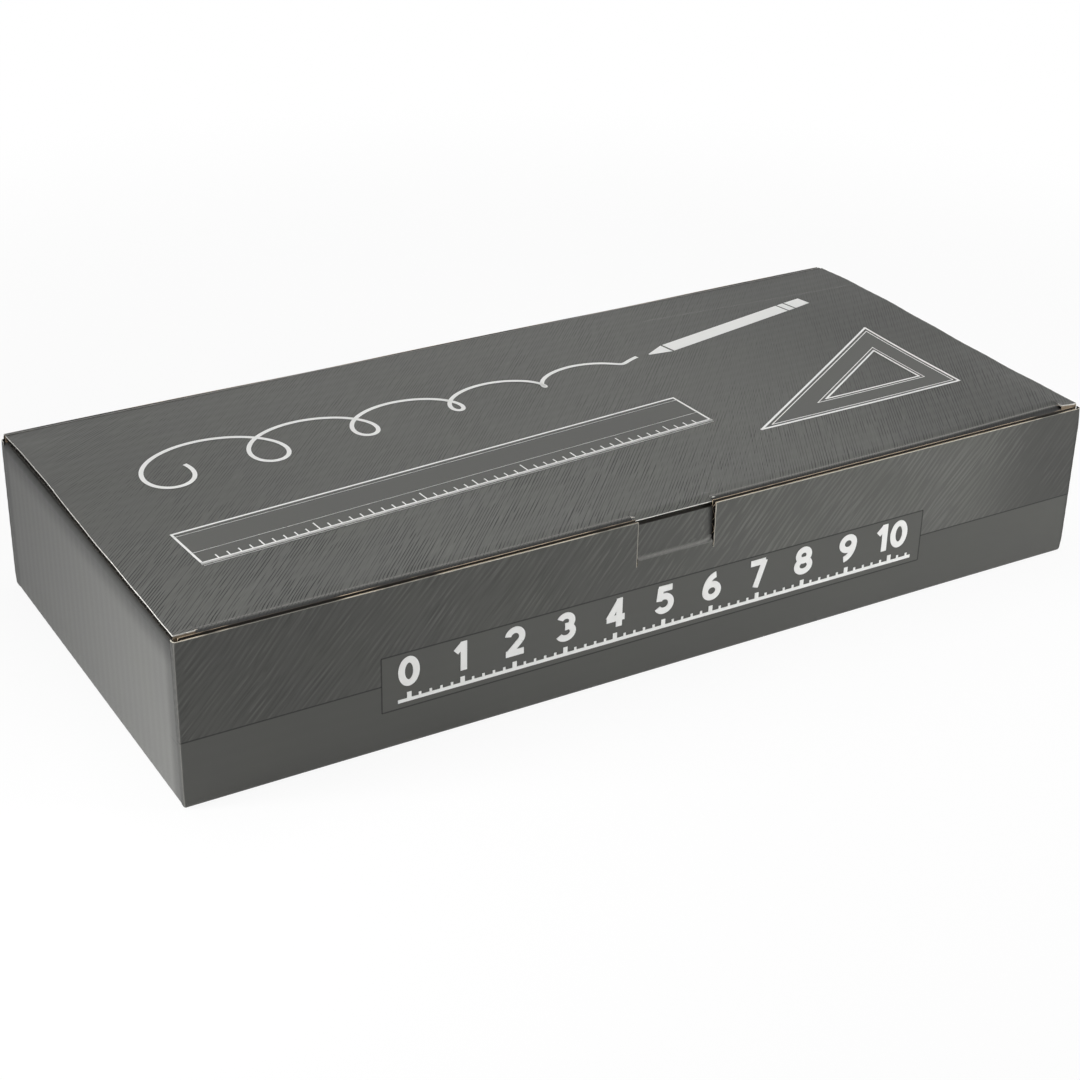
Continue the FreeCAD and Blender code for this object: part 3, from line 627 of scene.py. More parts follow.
def grey_print(name, colour, look="plain"):
    """The grey print on the outer liner: one of five looks over a cloudy tone and fibres. The blank's third number
    pales the print over nought, as rubbed ink and painted highlight on the folds, and darkens it under nought, as
    painted shade."""
    finish = Finish(name)
    place = finish.blank_place()
    wear = finish.parts(place)[2]
    fibres = finish.noise(place, (2.5 * MM, 0.35 * MM, 1), 3.0, 0.6)
    tone = 1 + (finish.noise(place, 60 * MM, 2.0) - 0.5) * 0.14 + (fibres - 0.5) * 0.06
    if look == "lid":
        tone = lid_tone(finish, place, tone)
    elif look == "side":
        tone = side_tone(finish, place, tone)
    elif look != "plain":
        tone = ruled_tone(finish, place, tone, look == "framed")
    tint = finish.mixed(finish.noise(place, 30 * MM, 1.0), rgba(colour),
                        rgba((colour[0] * 0.985, colour[1], colour[2] * 0.95)))
    # Painted shade: where the blank's third number is under nought, the tone darkens.
    tone = tone * (1 - 0.86 * finish.eased(wear, 0.0, -1.0))
    scaled = finish.node("ShaderNodeVectorMath", {"operation": "SCALE"}, {0: tint, "Scale": tone}).outputs[0]
    # Painted highlight, with some rubbed ink: where that number is over nought, the print is mixed towards a pale grey.
    painted_highlight_and_rub = wear.at_least(0.0) * (0.5 + 0.5 * finish.eased(finish.noise(place, 6 * MM, 2.0), 0.38, 0.62))
    base = finish.mixed(painted_highlight_and_rub * 0.24, scaled, rgba((0.50, 0.49, 0.46)))
    return finish.close(Base_Color=base, Roughness=0.50 + (fibres - 0.5) * 0.12, Specular_IOR_Level=0.32,
                        Normal=finish.bump(fibres * 0.3, 0.06 * MM))


def paper(name, colour, depth=0.12):
    """Unprinted paper: short fibres, specks and a slow cloud over one tone."""
    finish = Finish(name)
    place = finish.object_place()
    fibres = finish.noise(place, (1.6 * MM, 0.5 * MM, 0.5 * MM), 4.0, 0.65)
    cloud = finish.noise(place, 30 * MM, 2.0)
    specks = finish.eased(finish.noise(place, 0.9 * MM, 1.0), 0.68, 0.78)
    base = finish.mixed(fibres * 0.6 + cloud * 0.4, rgba(colour, 1 - depth * 1.6), rgba(colour, 1 + depth))
    base = finish.mixed(specks * 0.35, base, rgba(colour, 0.5))
    return finish.close(Base_Color=base, Roughness=0.85, Normal=finish.bump(fibres, 0.08 * MM))


def torn_edge(name, pale, deep, corners_only=False):
    """A cut edge of board that is pale at the carton's front corners and in patches of a few centimetres, or at
    those corners alone, and dark between them. On the core's and the lid's edges the dark is painted shade of the
    flutes, and the pale is the kraft where light reaches it."""
    finish = Finish(name)
    place = finish.object_place()
    x, y, _ = finish.parts(place)
    patches = finish.eased(x * x, (205 * MM) ** 2, (211 * MM) ** 2) * finish.eased(y, -95.9 * MM, -96.4 * MM)
    if not corners_only:
        lumps = finish.noise(place, (34 * MM, 30 * MM, 30 * MM), 3.0, 0.6)
        patches = finish.eased(lumps, 0.36, 0.50).at_least(patches)
    streaks = finish.noise(place, (3 * MM, 0.4 * MM, 0.4 * MM), 3.0, 0.6)
    base = finish.mixed(patches * (0.45 + streaks * 0.9), rgba(deep), rgba(pale))
    return finish.close(Base_Color=base, Roughness=0.9, Normal=finish.bump(streaks, 0.12 * MM))


def white_ink(name, colour):
    """White screen ink that lets a little of the grey through in specks."""
    finish = Finish(name)
    place = finish.object_place()
    thin = finish.eased(finish.noise(place, 0.8 * MM, 3.0), 0.62, 0.80)
    base = finish.mixed(thin * 0.25 + finish.noise(place, 20 * MM, 1.0) * 0.10, rgba(colour), rgba(colour, 0.72))
    return finish.close(Base_Color=base, Roughness=0.45)


def plastic(name, colour, rough, grain=0.25, coat=0.0):
    """Moulded plastic: a fine sparked grain and slightly uneven gloss."""
    finish = Finish(name)
    place = finish.object_place()
    fine = finish.noise(place, grain * MM, 2.0)
    cloud = finish.noise(place, 25 * MM, 2.0)
    base = finish.mixed(cloud, rgba(colour, 0.96), rgba(colour, 1.03))
    return finish.close(Base_Color=base, Roughness=rough + (cloud - 0.5) * 0.08 + (fine - 0.5) * 0.06,
                        Coat_Weight=coat, Coat_Roughness=0.06, Normal=finish.bump(fine, 0.015 * MM))


def foam(name, colour):
    """Closed-cell foam: soft round cells of about 2 mm, darker where they meet."""
    finish = Finish(name)
    place = finish.object_place()
    cell = finish.number("ShaderNodeTexVoronoi", {"feature": "SMOOTH_F1"},
                         {"Vector": place, "Scale": 1 / (2.2 * MM), "Smoothness": 0.6})
    cloud = finish.noise(place, 18 * MM, 3.0)
    base = finish.mixed(finish.eased(cell, 0.35, 0.75) * 0.5 + cloud * 0.2, rgba(colour), rgba(colour, 0.80))
    return finish.close(Base_Color=base, Roughness=0.78, Subsurface_Weight=0.12,
                        Subsurface_Radius=(0.003, 0.003, 0.003), Normal=finish.bump(1 - cell, 0.22 * MM))


def metal(name, colour, rough, stretch=(8, 0.2, 0.2)):
    """Brushed metal: long fine grains in its roughness and its height."""
    finish = Finish(name)
    grain = finish.noise(finish.object_place(), tuple(size * MM for size in stretch), 3.0, 0.6)
    base = finish.mixed(grain, rgba(colour, 0.88), rgba(colour, 1.06))
    return finish.close(Base_Color=base, Metallic=1.0, Roughness=rough + (grain - 0.5) * 0.15,
                        Normal=finish.bump(grain, 0.01 * MM))


def felt(name, colour):
    """Pressed felt: tangled short hairs."""
    finish = Finish(name)
    hairs = finish.noise(finish.object_place(), 0.35 * MM, 4.0, 0.7, distortion=1.5)
    base = finish.mixed(hairs, rgba(colour, 0.6), rgba(colour, 1.3))
    return finish.close(Base_Color=base, Roughness=0.95, Sheen_Weight=0.3, Normal=finish.bump(hairs, 0.15 * MM))


materials = {}


def make_materials(carton, content):
    """Make every finish once, from the settings."""
    # dark is the near-black of painted shade.
    kraft, dark = tuple(carton.kraft_colour), (0.016, 0.013, 0.009)
    makers = {
        "lid_print": (grey_print, carton.print_colour, "lid"),
        "front_print": (grey_print, carton.print_colour, "framed"),
        "back_print": (grey_print, carton.print_colour, "ruled"),
        "side_print": (grey_print, carton.side_colour, "side"),
        "base_print": (grey_print, carton.side_colour),
        "field_print": (grey_print, carton.plain_colour),
        "white_edge": (paper, carton.paper_colour, 0.08),
        "kraft_face": (paper, kraft),
        # core_edge and lid_edge are kraft under painted shade, pale only in patches and at the front corners; dark_edge
        # is a sheet of painted shade for the faces between the flutes and the tab's cut edges.
        "core_edge": (torn_edge, (0.60, 0.47, 0.33), (0.022, 0.017, 0.012)),
        "lid_edge": (torn_edge, (0.27, 0.215, 0.15), dark, True),
        "dark_edge": (paper, dark, 0.25),
        "torn_paper": (torn_edge, carton.paper_colour, [channel * 0.7 for channel in kraft]),
        "worn_edge": (torn_edge, (0.52, 0.49, 0.42), (0.19, 0.18, 0.155)),
        "white_ink": (white_ink, carton.ink_colour),
        "foam": (foam, content.foam_colour),
        "shell": (plastic, content.shell_colour, 0.38),
        "glass": (plastic, content.glass_colour, 0.10, 4.0, 1.0),
        "glass_edge": (plastic, (0.45, 0.66, 0.60), 0.12, 4.0, 1.0),
        "steel": (metal, (0.56, 0.56, 0.57), 0.38),
        "zinc": (metal, (0.52, 0.53, 0.55), 0.30, (0.4, 0.4, 0.4)),
        "nickel": (metal, (0.66, 0.65, 0.62), 0.22, (0.6, 0.6, 0.6)),
        "rubber": (plastic, (0.030, 0.030, 0.030), 0.80, 0.5),
        "black": (plastic, content.black_colour, 0.28, 0.4, 0.3),
        "white": (plastic, content.shell_colour, 0.25, 0.6, 0.3),
        "felt": (felt, (0.03, 0.03, 0.032)),
    }
    for name, (maker, *values) in makers.items():
        materials[name] = maker(name, *values)


def skins(face, inside="kraft_face", edge="core_edge", paper_edge="white_edge"):
    """The five materials of a board: printed face, its cut edge, the brown inside, the core's cut edges, mostly under
    painted shade, and a near-black painted shade for the faces between the flutes."""
    return [materials[name] for name in (face, paper_edge, inside, edge, "dark_edge")]


# Pieces of the carton


class CARTON_OT_walls(bpy.types.Operator):
    """Make the front and the back wall, whose liner turns back at every fold"""

    bl_idname = "carton.walls"
    bl_label = "Front and back wall"

    def execute(self, context):
        board = context.scene.carton_board
        self.front(board)
        self.back(board)
        return {"FINISHED"}

    def along(self, half, board):
        """Places along a wall: the arcs of its upright folds and the short runs behind them, at both ends."""
        arc = half - board.fold + board.fold * QUARTER * np.linspace(0, 1, 18)
        return mirrored(*arc, arc[-1] + END_RUN)

    def foot(self, board):
        """Places of the fold at a wall's foot, and of the short run under it."""
        start = board.fold * (1 - QUARTER)
        return [start - CREASE_GAP, start, board.fold]

    def front(self, board):
        """The front wall: its face wrapped about the folds, less the cut-out over the tab's crease. The cuts beside
        the tab run on for 2.5 mm under that crease."""
        low, high = corners("front_wall")
        tab_low, tab_high = corners("lock_tab")
        thick, half, top = high[1] - low[1], high[0], high[2]
        cut_half, crease = tab_high[0], tab_low[2] - CREASE_GAP
        open_half, cut_end = cut_half + 0.5 * MM, crease - 2.5 * MM
        side_chip, top_chip = 0.75 * board.chip, 0.60 * board.chip

        def keep(u, v):
            opening = np.abs(u) < open_half
            return ~(opening & (v > crease) | opening & (np.abs(u) > cut_half) & (v > cut_end))

        def chipped(u, v):
            beside = (np.abs(np.abs(u) - open_half) < side_chip) & (v > cut_end - side_chip)
            return (v > top - top_chip) | beside

        # A painted highlight along the rounded upright corners of the wall.
        def worn(u, v):
            return 0.9 * np.exp(-((np.abs(u) - half + 0.2 * MM) / (0.28 * MM)) ** 2)

        shape = Shape()
        u = places(self.along(half, board) + mirrored(open_half, open_half + side_chip, cut_half), 9 * MM)
        v = places([*self.foot(board), cut_end - side_chip, cut_end, crease, top - top_chip, top], 0.8 * MM)
        add_liner(shape, wrapped(half, low[1], -1, 0, top, board.fold), u, v, board, keep=keep, chip=chipped,
                  wear=worn)
        u = places(mirrored(half - thick, open_half, cut_half), 9 * MM)
        v = places([thick, cut_end, crease, top], 6 * MM)
        add_core(shape, flat((0, low[1], 0), (1, 0, 0), (0, 0, 1)), u, v, board, thick, keep=keep,
                 phase=-0.25 - top / board.pitch)
        shape.piece("front_wall_board", "carton", skins("front_print", paper_edge="worn_edge"), "printed_board",
                    ["front_wall"])

    def back(self, board):
        """The back wall: its face wrapped about the folds. Beside the lid it ends under the lid's board, and the fold
        at its top ends in a level run towards the lid."""
        low, high = corners("back_wall")
        lid_low, lid_high = corners("lid_panel")
        lid_half, under, chip = lid_high[0], lid_low[2], board.chip
        thick, half, top = high[1] - low[1], high[0], high[2]

        def keep(u, v):
            return (np.abs(u) < lid_half) | (v < under)

        def chipped(u, v):
            beside = (np.abs(u) > lid_half) & (v > under - chip)
            return beside | (np.abs(np.abs(u) - lid_half) < chip) & (v > under)

        shape = Shape()
        u = places(self.along(half, board) + mirrored(lid_half, lid_half - chip), 9 * MM)
        turn = top - board.fold + board.fold * QUARTER * np.linspace(0, 1, 7)
        v = places([*self.foot(board), under - chip, under, *turn, turn[-1] + 0.1 * MM], 0.8 * MM)
        add_liner(shape, wrapped(half, high[1], 1, 0, top, board.fold, True), u, v, board, keep=keep, chip=chipped)
        u = places(mirrored(half - thick, lid_half), 9 * MM)
        v = places([thick, under, top - board.liner], 6 * MM)
        add_core(shape, flat((0, high[1], 0), (-1, 0, 0), (0, 0, 1)), u, v, board, thick, keep=keep)
        shape.piece("back_wall_board", "carton", skins("back_print"), "printed_board", ["back_wall"])


class CARTON_OT_sides(bpy.types.Operator):
    """Make the two side boards: up the outside, over the top, and down the inside to the tongues"""

    bl_idname = "carton.sides"
    bl_label = "Side boards"

    def execute(self, context):
        for word, side in SIDES.items():
            self.side_board(context.scene.carton_board, word, side)
        return {"FINISHED"}

    def side_board(self, board, word, side):
        """One side board: a rounded path about the outer wall, the roll and the inner wall, carried along the
        carton's depth. Past the last fold it is as narrow as the inner wall, and past the floor only its tongues
        go on."""
        low, high = corners(f"{word}_outer_wall")
        roll_low, roll_high = corners(f"{word}_top_roll")
        inner_low, inner_high = corners(f"{word}_inner_wall")
        thick, reach, inner_reach = high[0] - low[0], high[1], inner_high[1]
        outer_x = max(abs(low[0]), abs(high[0]))
        inner_x = min(abs(roll_low[0]), abs(roll_high[0]))
        top, foot = roll_high[2], inner_low[2]
        path = rounded_path([(-outer_x + thick, 0), (-outer_x, 0), (-outer_x, top), (-inner_x, top), (-inner_x, foot)],
                            board.fold)
        lengths = path[2]
        arcs = [(lengths[1 + fold * (ARC_STEPS + 1)], lengths[(1 + fold) * (ARC_STEPS + 1)]) for fold in range(3)]
        folds = np.mean(arcs, axis=1)
        tongue = lengths[-1] - (corners("bottom_panel")[1][2] - foot)

        def at(u, v, depth):
            """The path carried along the carton's depth. The board is crushed to three quarters in each fold."""
            near = sum(np.exp(-((v - fold) / (1.6 * board.fold)) ** 2) for fold in folds)
            spot = along_path(path, v, np.broadcast_to(depth, v.shape) * (1 - 0.25 * np.clip(near, 0, 1)))
            return np.stack([-side * spot[..., 0], side * u, spot[..., 1]], axis=-1)

        def keep(u, v):
            beside_tongues = np.abs(np.abs(u) - TONGUE) >= TONGUE_HALF
            beside_inner = (v > arcs[2][1]) & (np.abs(u) > inner_reach)
            return ~((v > tongue) & beside_tongues) & ~beside_inner

        def worn(u, v):
            return 0.7 * np.exp(-((v - folds[0]) / (0.9 * MM)) ** 2)

        shape = Shape()
        u = places(mirrored(reach, inner_reach, TONGUE - TONGUE_HALF, TONGUE + TONGUE_HALF), board.pitch / 8)
        v = places(np.concatenate([[0, tongue, lengths[-1]], *(np.linspace(*arc, 7) for arc in arcs)]), 8 * MM)
        add_board(shape, at, u, v, board, thick, flutes="v", keep=keep, wear=worn)
        shape.piece(f"{word}_side_board", "carton", skins("side_print", paper_edge="side_print"), "printed_board",
                    [f"{word}_outer_wall", f"{word}_top_roll", f"{word}_inner_wall"])


class CARTON_OT_floor_and_flaps(bpy.types.Operator):
    """Make the floor panel with its four slots, and the four corner flaps inside the sides"""

    bl_idname = "carton.floor_and_flaps"
    bl_label = "Floor and corner flaps"

    def execute(self, context):
        board = context.scene.carton_board
        self.floor(board)
        for end in ("front", "back"):
            for word, side in SIDES.items():
                self.flap(board, f"{end}_{word}_corner_flap", side)
        return {"FINISHED"}

    def floor(self, board):
        """The floor: a flat board, less the four slots that take the side boards' tongues."""
        low, high = corners("bottom_panel")
        slot_low, slot_high, slot_half = 210 * MM, 213.4 * MM, 21.2 * MM

        def keep(u, v):
            beside = (np.abs(u) > slot_low) & (np.abs(u) < slot_high)
            return ~(beside & (np.abs(np.abs(v) - TONGUE) < slot_half))

        shape = Shape()
        u = places([low[0], high[0], *mirrored(slot_low, slot_high)], 9 * MM)
        v = places([low[1], high[1], *mirrored(TONGUE - slot_half, TONGUE + slot_half)], 1.6 * MM)
        add_board(shape, flat((0, 0, low[2]), (1, 0, 0), (0, -1, 0)), u, v, board, high[2] - low[2], keep=keep,
                  shift=(0.5, 0))
        shape.piece("floor_board", "carton", skins("base_print"), "bare_board", ["bottom_panel"])

    def flap(self, board, node, side):
        """One corner flap: a flat board that faces the side."""
        low, high = corners(node)
        face = (low if side < 0 else high)[0]
        middle_y, half = (low[1] + high[1]) / 2, (high[1] - low[1]) / 2
        shape = Shape()
        add_board(shape, flat((face, middle_y, 0), (0, side, 0), (0, 0, 1)), places([-half, half], 8 * MM),
                  places([low[2], high[2]], 1.6 * MM), board, high[0] - low[0])
        shape.piece(f"{node}_board", "carton", skins("base_print"), "bare_board", [node])


def lid_rise(x, y):
    """How far the lid lifts: a hump 48 mm behind the middle that grows with the square of the distance to either side
    and is gone at the hinge, the front right corner, which springs up but for its outer edge, and two small sines
    along the free side edges."""
    board = bpy.context.scene.carton_board
    hump = np.exp(-((y - 48 * MM) / (44 * MM)) ** 2) * (1 - np.clip((y - 70 * MM) / (26 * MM), 0, 1) ** 2)
    sideways = 0.15 + 0.85 * np.clip(np.abs(x) / (217 * MM), 0, 1) ** 2
    sprung = eased_step((x - 130 * MM) / (88 * MM)) * eased_step((10 * MM - y) / (106 * MM))
    sprung = sprung * (1 - 0.85 * eased_step((x - 208 * MM) / (9 * MM)))
    free_edge = np.clip((np.abs(x) / MM - 185) / 32, 0, 1) ** 2 * eased_step((y + 94 * MM) / (14 * MM))
    wavy = free_edge * (np.sin(y * 170 + 1) + np.sin(y * 61 + x * 9))
    return board.bow * hump * sideways + 0.8 * board.bow * sprung + 0.12 * MM * wavy


class CARTON_OT_lid(bpy.types.Operator):
    """Make the lid, rounded along its front fold, with raw corners beside the fold and a notch over the tab"""

    bl_idname = "carton.lid"
    bl_label = "Lid"

    def execute(self, context):
        board = context.scene.carton_board
        low, high = corners("lid_panel")
        self.front, self.back, self.top = low[1], high[1] - CREASE_GAP, high[2]
        self.half, self.thick, self.slit = high[0], high[2] - low[2], 0.35 * MM
        self.tuck_half = corners("tuck_flap")[1][0]
        self.notch = self.front + 0.1 * MM
        shape = Shape()
        self.liner(shape, board)
        self.core(shape, board)
        shape.piece("lid_board", "lid", skins("lid_print", edge="lid_edge"), "printed_board", ["lid_panel"])
        self.torn_fibres()
        return {"FINISHED"}

    def spread(self, x):
        """How far the lid's right end stands out over the side wall."""
        return 1.2 * MM * eased_step((x - 190 * MM) / (27 * MM))

    def crushed(self, u, y, depth):
        """How far the board is pressed down towards its front: by up to 2 mm at the window, and by 1.3 mm along
        the fold, but not at the raw corners beside it, and less with the depth."""
        window = 2.0 * MM * (1 - eased_step((y - self.notch) / (3.6 * MM)))
        fold = 1.3 * MM * (1 - eased_step((y - self.front) / (7 * MM)))
        in_fold = np.abs(u) < self.tuck_half + self.slit / 2
        drop = np.where(np.abs(u) < WINDOW_HALF, window, np.where(in_fold, fold, 0.0))
        return drop * (1 - depth / self.thick)

    def liner(self, shape, board):
        """The printed liner: a path that rises over the front fold and runs to the back, carried along the carton's
        length and cut at the fold's ends and at the window."""
        tuck_half, slit, notch, top = self.tuck_half, self.slit, self.notch, self.top
        arc, chip, start = board.fold * QUARTER, board.chip, 0.01 * MM
        path = rounded_path([(self.front, top - board.fold - start), (self.front, top), (self.back, top)], board.fold)
        fold_end, flat_start = arc + start, self.front + board.fold

        def at(u, v, depth):
            """Place on the liner. At the window and beside the tuck flap's ends the front lies flat."""
            spot = along_path(path, v, depth)
            y, z = spot[..., 0], spot[..., 1]
            outside = (np.abs(u) > tuck_half + slit / 2) | (np.abs(u) < WINDOW_HALF)
            squeezed = (flat_start - notch) / fold_end
            y = np.where(outside, flat_start + (v - fold_end) * np.where(v < fold_end, squeezed, 1.0), y)
            pressed = np.where(outside, 1.0, np.clip(1 - (top - z) / board.fold, 0, 1) ** 0.5)
            z = np.where(outside, top - depth, z) - self.crushed(u, y, depth) * pressed
            return np.stack([u + self.spread(u), y, z + lid_rise(u, y)], axis=-1)

        def keep(u, v):
            beside_fold = (np.abs(u) > tuck_half) & (np.abs(u) < tuck_half + slit)
            beside_window = (np.abs(u) > WINDOW_HALF - slit) & (np.abs(u) < WINDOW_HALF)
            return ~((beside_fold | beside_window) & (v < fold_end))

        def chipped(u, v):
            raw_corner = (v < start + chip) & (np.abs(u) > tuck_half)
            window = (v < 0.2 * arc) & (np.abs(u) < WINDOW_HALF)
            return raw_corner | window | (self.half - np.abs(u) < 0.5 * chip)

        def washed(u, v):
            return np.where(v < fold_end, 0.0, 1.0)

        def worn(u, v):
            """A painted highlight along the crest of the fold, painted shade under it, and a pale scored line on the
            right.
            """
            y = v - fold_end + flat_start
            score = (y - 75 * MM + (u - 128 * MM) * 0.08) / (0.35 * MM)
            folded = (np.abs(u) < tuck_half + slit) & (np.abs(u) > WINDOW_HALF - slit)
            painted_highlight_and_rub = np.exp(-((v - arc * 1.08) / (0.32 * MM)) ** 2) * (0.8 + 0.8 * np.clip(u / (150 * MM), 0, 1))
            return painted_highlight_and_rub * folded - folded * eased_step((arc - v) / (arc * 0.26)) \
                + 0.6 * np.exp(-score ** 2) * (u > 100 * MM)

        u = places(mirrored(self.half, self.half - 0.5 * chip, tuck_half, tuck_half + slit, WINDOW_HALF,
                            WINDOW_HALF - slit), 7 * MM)
        bend, crest = start + arc * np.linspace(0, 1, 8)[1:], arc * np.array((1.04, 1.08, 1.12, 1.18))
        v = places([0, start + chip, *bend, *crest, path[2][-1]], 0.8 * MM)
        add_liner(shape, at, u, v, board, keep=keep, chip=chipped, wear=worn, washed=washed, shift=(0, 0.2))

    def core(self, shape, board):
        """The lid's flat board under the liner, lifted as the lid is, and its raw front edges beside the fold."""
        def raised(u, v, depth):
            z = self.top - np.broadcast_to(depth, u.shape) - self.crushed(u, v, depth)
            return np.stack([u + self.spread(u), v, z + lid_rise(u, v)], axis=-1)

        def keep(u, v):
            return (v > self.front + BOARD) | (np.abs(u) > self.tuck_half) | (np.abs(u) < WINDOW_HALF)

        u = places(mirrored(self.half, self.tuck_half, WINDOW_HALF), 7 * MM)
        v = places([self.notch, self.notch + 1 * MM, self.notch + 2 * MM, self.front + BOARD, self.front + 5 * MM,
                    self.front + 8 * MM, self.back], 6 * MM)
        add_core(shape, raised, u, v, board, self.thick, keep=keep)
        for side in SIDES.values():
            u = np.linspace(*sorted((side * (self.tuck_half + self.slit), side * (self.half - 0.1 * MM))), 25)
            u, depth = np.meshgrid(u, np.linspace(self.thick - board.inner_liner, board.liner, 5), indexing="ij")
            uneven = 0.05 * MM * np.sin(u * 3000 + depth * 2000) - 0.06 * MM
            torn = raised(u, self.notch + uneven, depth)
            # The torn front edges take the lid's edge finish: kraft under painted shade, pale only at the corners.
            shape.add_sheet(torn, torn + (0, 0.12 * MM, 0), blank_of(u, depth), skins=(3, 3, 3))

    def torn_fibres(self):
        """Torn paper that curls up at the ends of the cuts: each flake bends up along an arc and grows narrower. Its
        numbers are a place along the fold and one behind it, a size, a curl in radians and a heading in degrees."""
        shape = Shape()
        share, side = np.meshgrid(np.linspace(0, 1, 7), np.linspace(-0.5, 0.5, 5), indexing="ij")
        fold_end, window_end = self.tuck_half / MM, WINDOW_HALF / MM
        flakes = ((fold_end, 0.9, 1.7, 1.0, -120), (fold_end + 0.8, 0.2, 1.5, 0.7, -60),
                  (-fold_end, 0.6, 1.6, 1.0, -100), (window_end, 0.4, 1.4, 0.8, -70),
                  (-window_end, 0.5, 1.9, 0.9, -110), (fold_end + 4, 0.2, 1.3, 0.6, -80),
                  (-fold_end - 3.5, 0.2, 1.1, 0.5, -95))
        for x, y, size, curl, turn in flakes:
            x, y, size, heading = x * MM, self.notch + y * MM, size * MM, math.radians(turn)
            angle = share * curl
            reach, lift = size * np.sin(angle) / curl, size * (1 - np.cos(angle)) / curl
            width = side * size * (0.8 - 0.45 * share + 0.1 * np.sin(share * 9 + x * 900))
            upper = np.stack([x + reach * math.cos(heading) - width * math.sin(heading),
                              y + reach * math.sin(heading) + width * math.cos(heading),
                              self.top + lid_rise(x, self.notch) + lift - 0.02 * MM], axis=-1)
            shape.add_sheet(upper, upper - (0, 0, 0.16 * MM), blank_of(share, side))
        shape.piece("lid_torn_fibres", "lid", [materials["torn_paper"]] * 3, "printed_board")


class CARTON_OT_tuck_and_tab(bpy.types.Operator):
    """Make the tuck flap with its window, and the lock tab"""

    bl_idname = "carton.tuck_and_tab"
    bl_label = "Tuck flap and lock tab"

    def execute(self, context):
        board = context.scene.carton_board
        self.tuck(board)
        self.tab(board)
        return {"FINISHED"}

    def pivot(self, name):
        """A point on a joint's axis."""
        return np.array(next(item for item in frame["joints"] if item["name"] == name)["pos_m"])

    def tuck(self, board):
        """The tuck flap: a flat board that hangs from its crease and leans in, with a window at the tab and rounded
        lower corners."""
        pivot, half = self.pivot("tuck_fold"), corners("tuck_flap")[1][0]
        drop, window, corner, chip = 35.3 * MM, 24 * MM, 10 * MM, board.chip
        up = np.array([0, -math.sin(TUCK_LEAN), math.cos(TUCK_LEAN)])
        out = np.array([0, -math.cos(TUCK_LEAN), -math.sin(TUCK_LEAN)])

        def bottom(u):
            """Lowest place of the flap: straight, with quarter circles at both ends."""
            inside = np.clip(np.abs(u) - (half - corner), 0, corner)
            return -drop + corner - np.sqrt(np.maximum(corner ** 2 - inside ** 2, 0))

        def at(u, v, depth):
            """The flat flap, whose lowest places are raised to its rounded lower edge."""
            return flat(pivot + out * BOARD, (1, 0, 0), up)(u, np.maximum(v, bottom(u)), depth)

        def keep(u, v):
            return ~((np.abs(u) < WINDOW_HALF) & (v > -window)) & (v > bottom(u))

        def chipped(u, v):
            beside = (np.abs(np.abs(u) - WINDOW_HALF) < chip) & (v > -window - chip)
            under = (np.abs(u) < WINDOW_HALF) & (np.abs(v + window) < chip)
            return beside | under | (half - np.abs(u) < chip) | (v < bottom(u) + 2 * chip)

        shape = Shape()
        bends = half - corner * (1 - np.sin(np.linspace(0, 1, 9) * QUARTER))
        u = places(mirrored(*bends, half - chip, WINDOW_HALF, WINDOW_HALF + chip), 9 * MM)
        v = places([-drop, -drop + 2 * chip, -window - chip, -window, -CREASE_GAP], 0.8 * MM)
        add_liner(shape, at, u, v, board, keep=keep, chip=chipped, shift=(0, 0.16))
        add_core(shape, at, u, v, board, BOARD, keep=keep)
        shape.piece("tuck_flap_board", "tuck", skins("lid_print"), "printed_board", ["tuck_flap"])

    def tab(self, board):
        """The lock tab: a board that stands on its crease and leans in, pressed thin and dented at its foot."""
        pivot, half = self.pivot("tab_fold"), corners("lock_tab")[1][0]
        lean, height, chip, foot, flat_start = math.radians(5.2), 15.85 * MM, board.chip, CREASE_GAP, BOARD
        up = np.array([0, math.sin(lean), math.cos(lean)])

        def at(u, v, depth):
            """The tab's face, dented at its foot: it goes in by up to 1.1 mm within 1.3 mm over the crease, less
            and less towards the top, and the board is pressed thinner by as much. Inside, its foot slants away by
            the tangent of 30 degrees."""
            dent = 1.1 * MM * eased_step((v - foot) / (1.3 * MM)) * (1 - 0.75 * np.clip(v / height, 0, 1))
            deep = dent + np.broadcast_to(depth, u.shape) * (1 - dent / BOARD)
            slanted = np.maximum(0, deep * 0.577 - np.maximum(v - foot, 0)) * (v < flat_start) * (depth > 0.6 * MM)
            return flat(pivot, (1, 0, 0), up)(u, v + slanted, deep)

        def chipped(u, v):
            return half - np.abs(u) < 0.5 * chip

        def worn(u, v):
            """A painted highlight over the crease that rises at the right end, and painted shade on the tab above it
            there.
            """
            right = np.exp((u - half) / (2.2 * MM))
            crest = np.exp(-((v - 0.8 * MM - 1.5 * MM * right) / (0.55 * MM)) ** 2)
            return 1.3 * crest - 0.9 * right * (v > flat_start)

        shape = Shape()
        u = places([-half, 0.5 * chip - half, half - 4 * MM, half - 0.5 * chip, half], 1.5 * MM)
        v = places([foot, 3.2 * MM, height], 0.25 * MM)
        add_board(shape, at, u, v, board, BOARD, chip=chipped, wear=worn, shift=(0, pivot[2]))
        # Its cut edges and the strips beside them take dark_edge: painted shade in the tab's recess.
        shape.piece("lock_tab_board", "tab", skins("front_print", "kraft_face", "dark_edge", "dark_edge"),
                    "printed_board", ["lock_tab"])


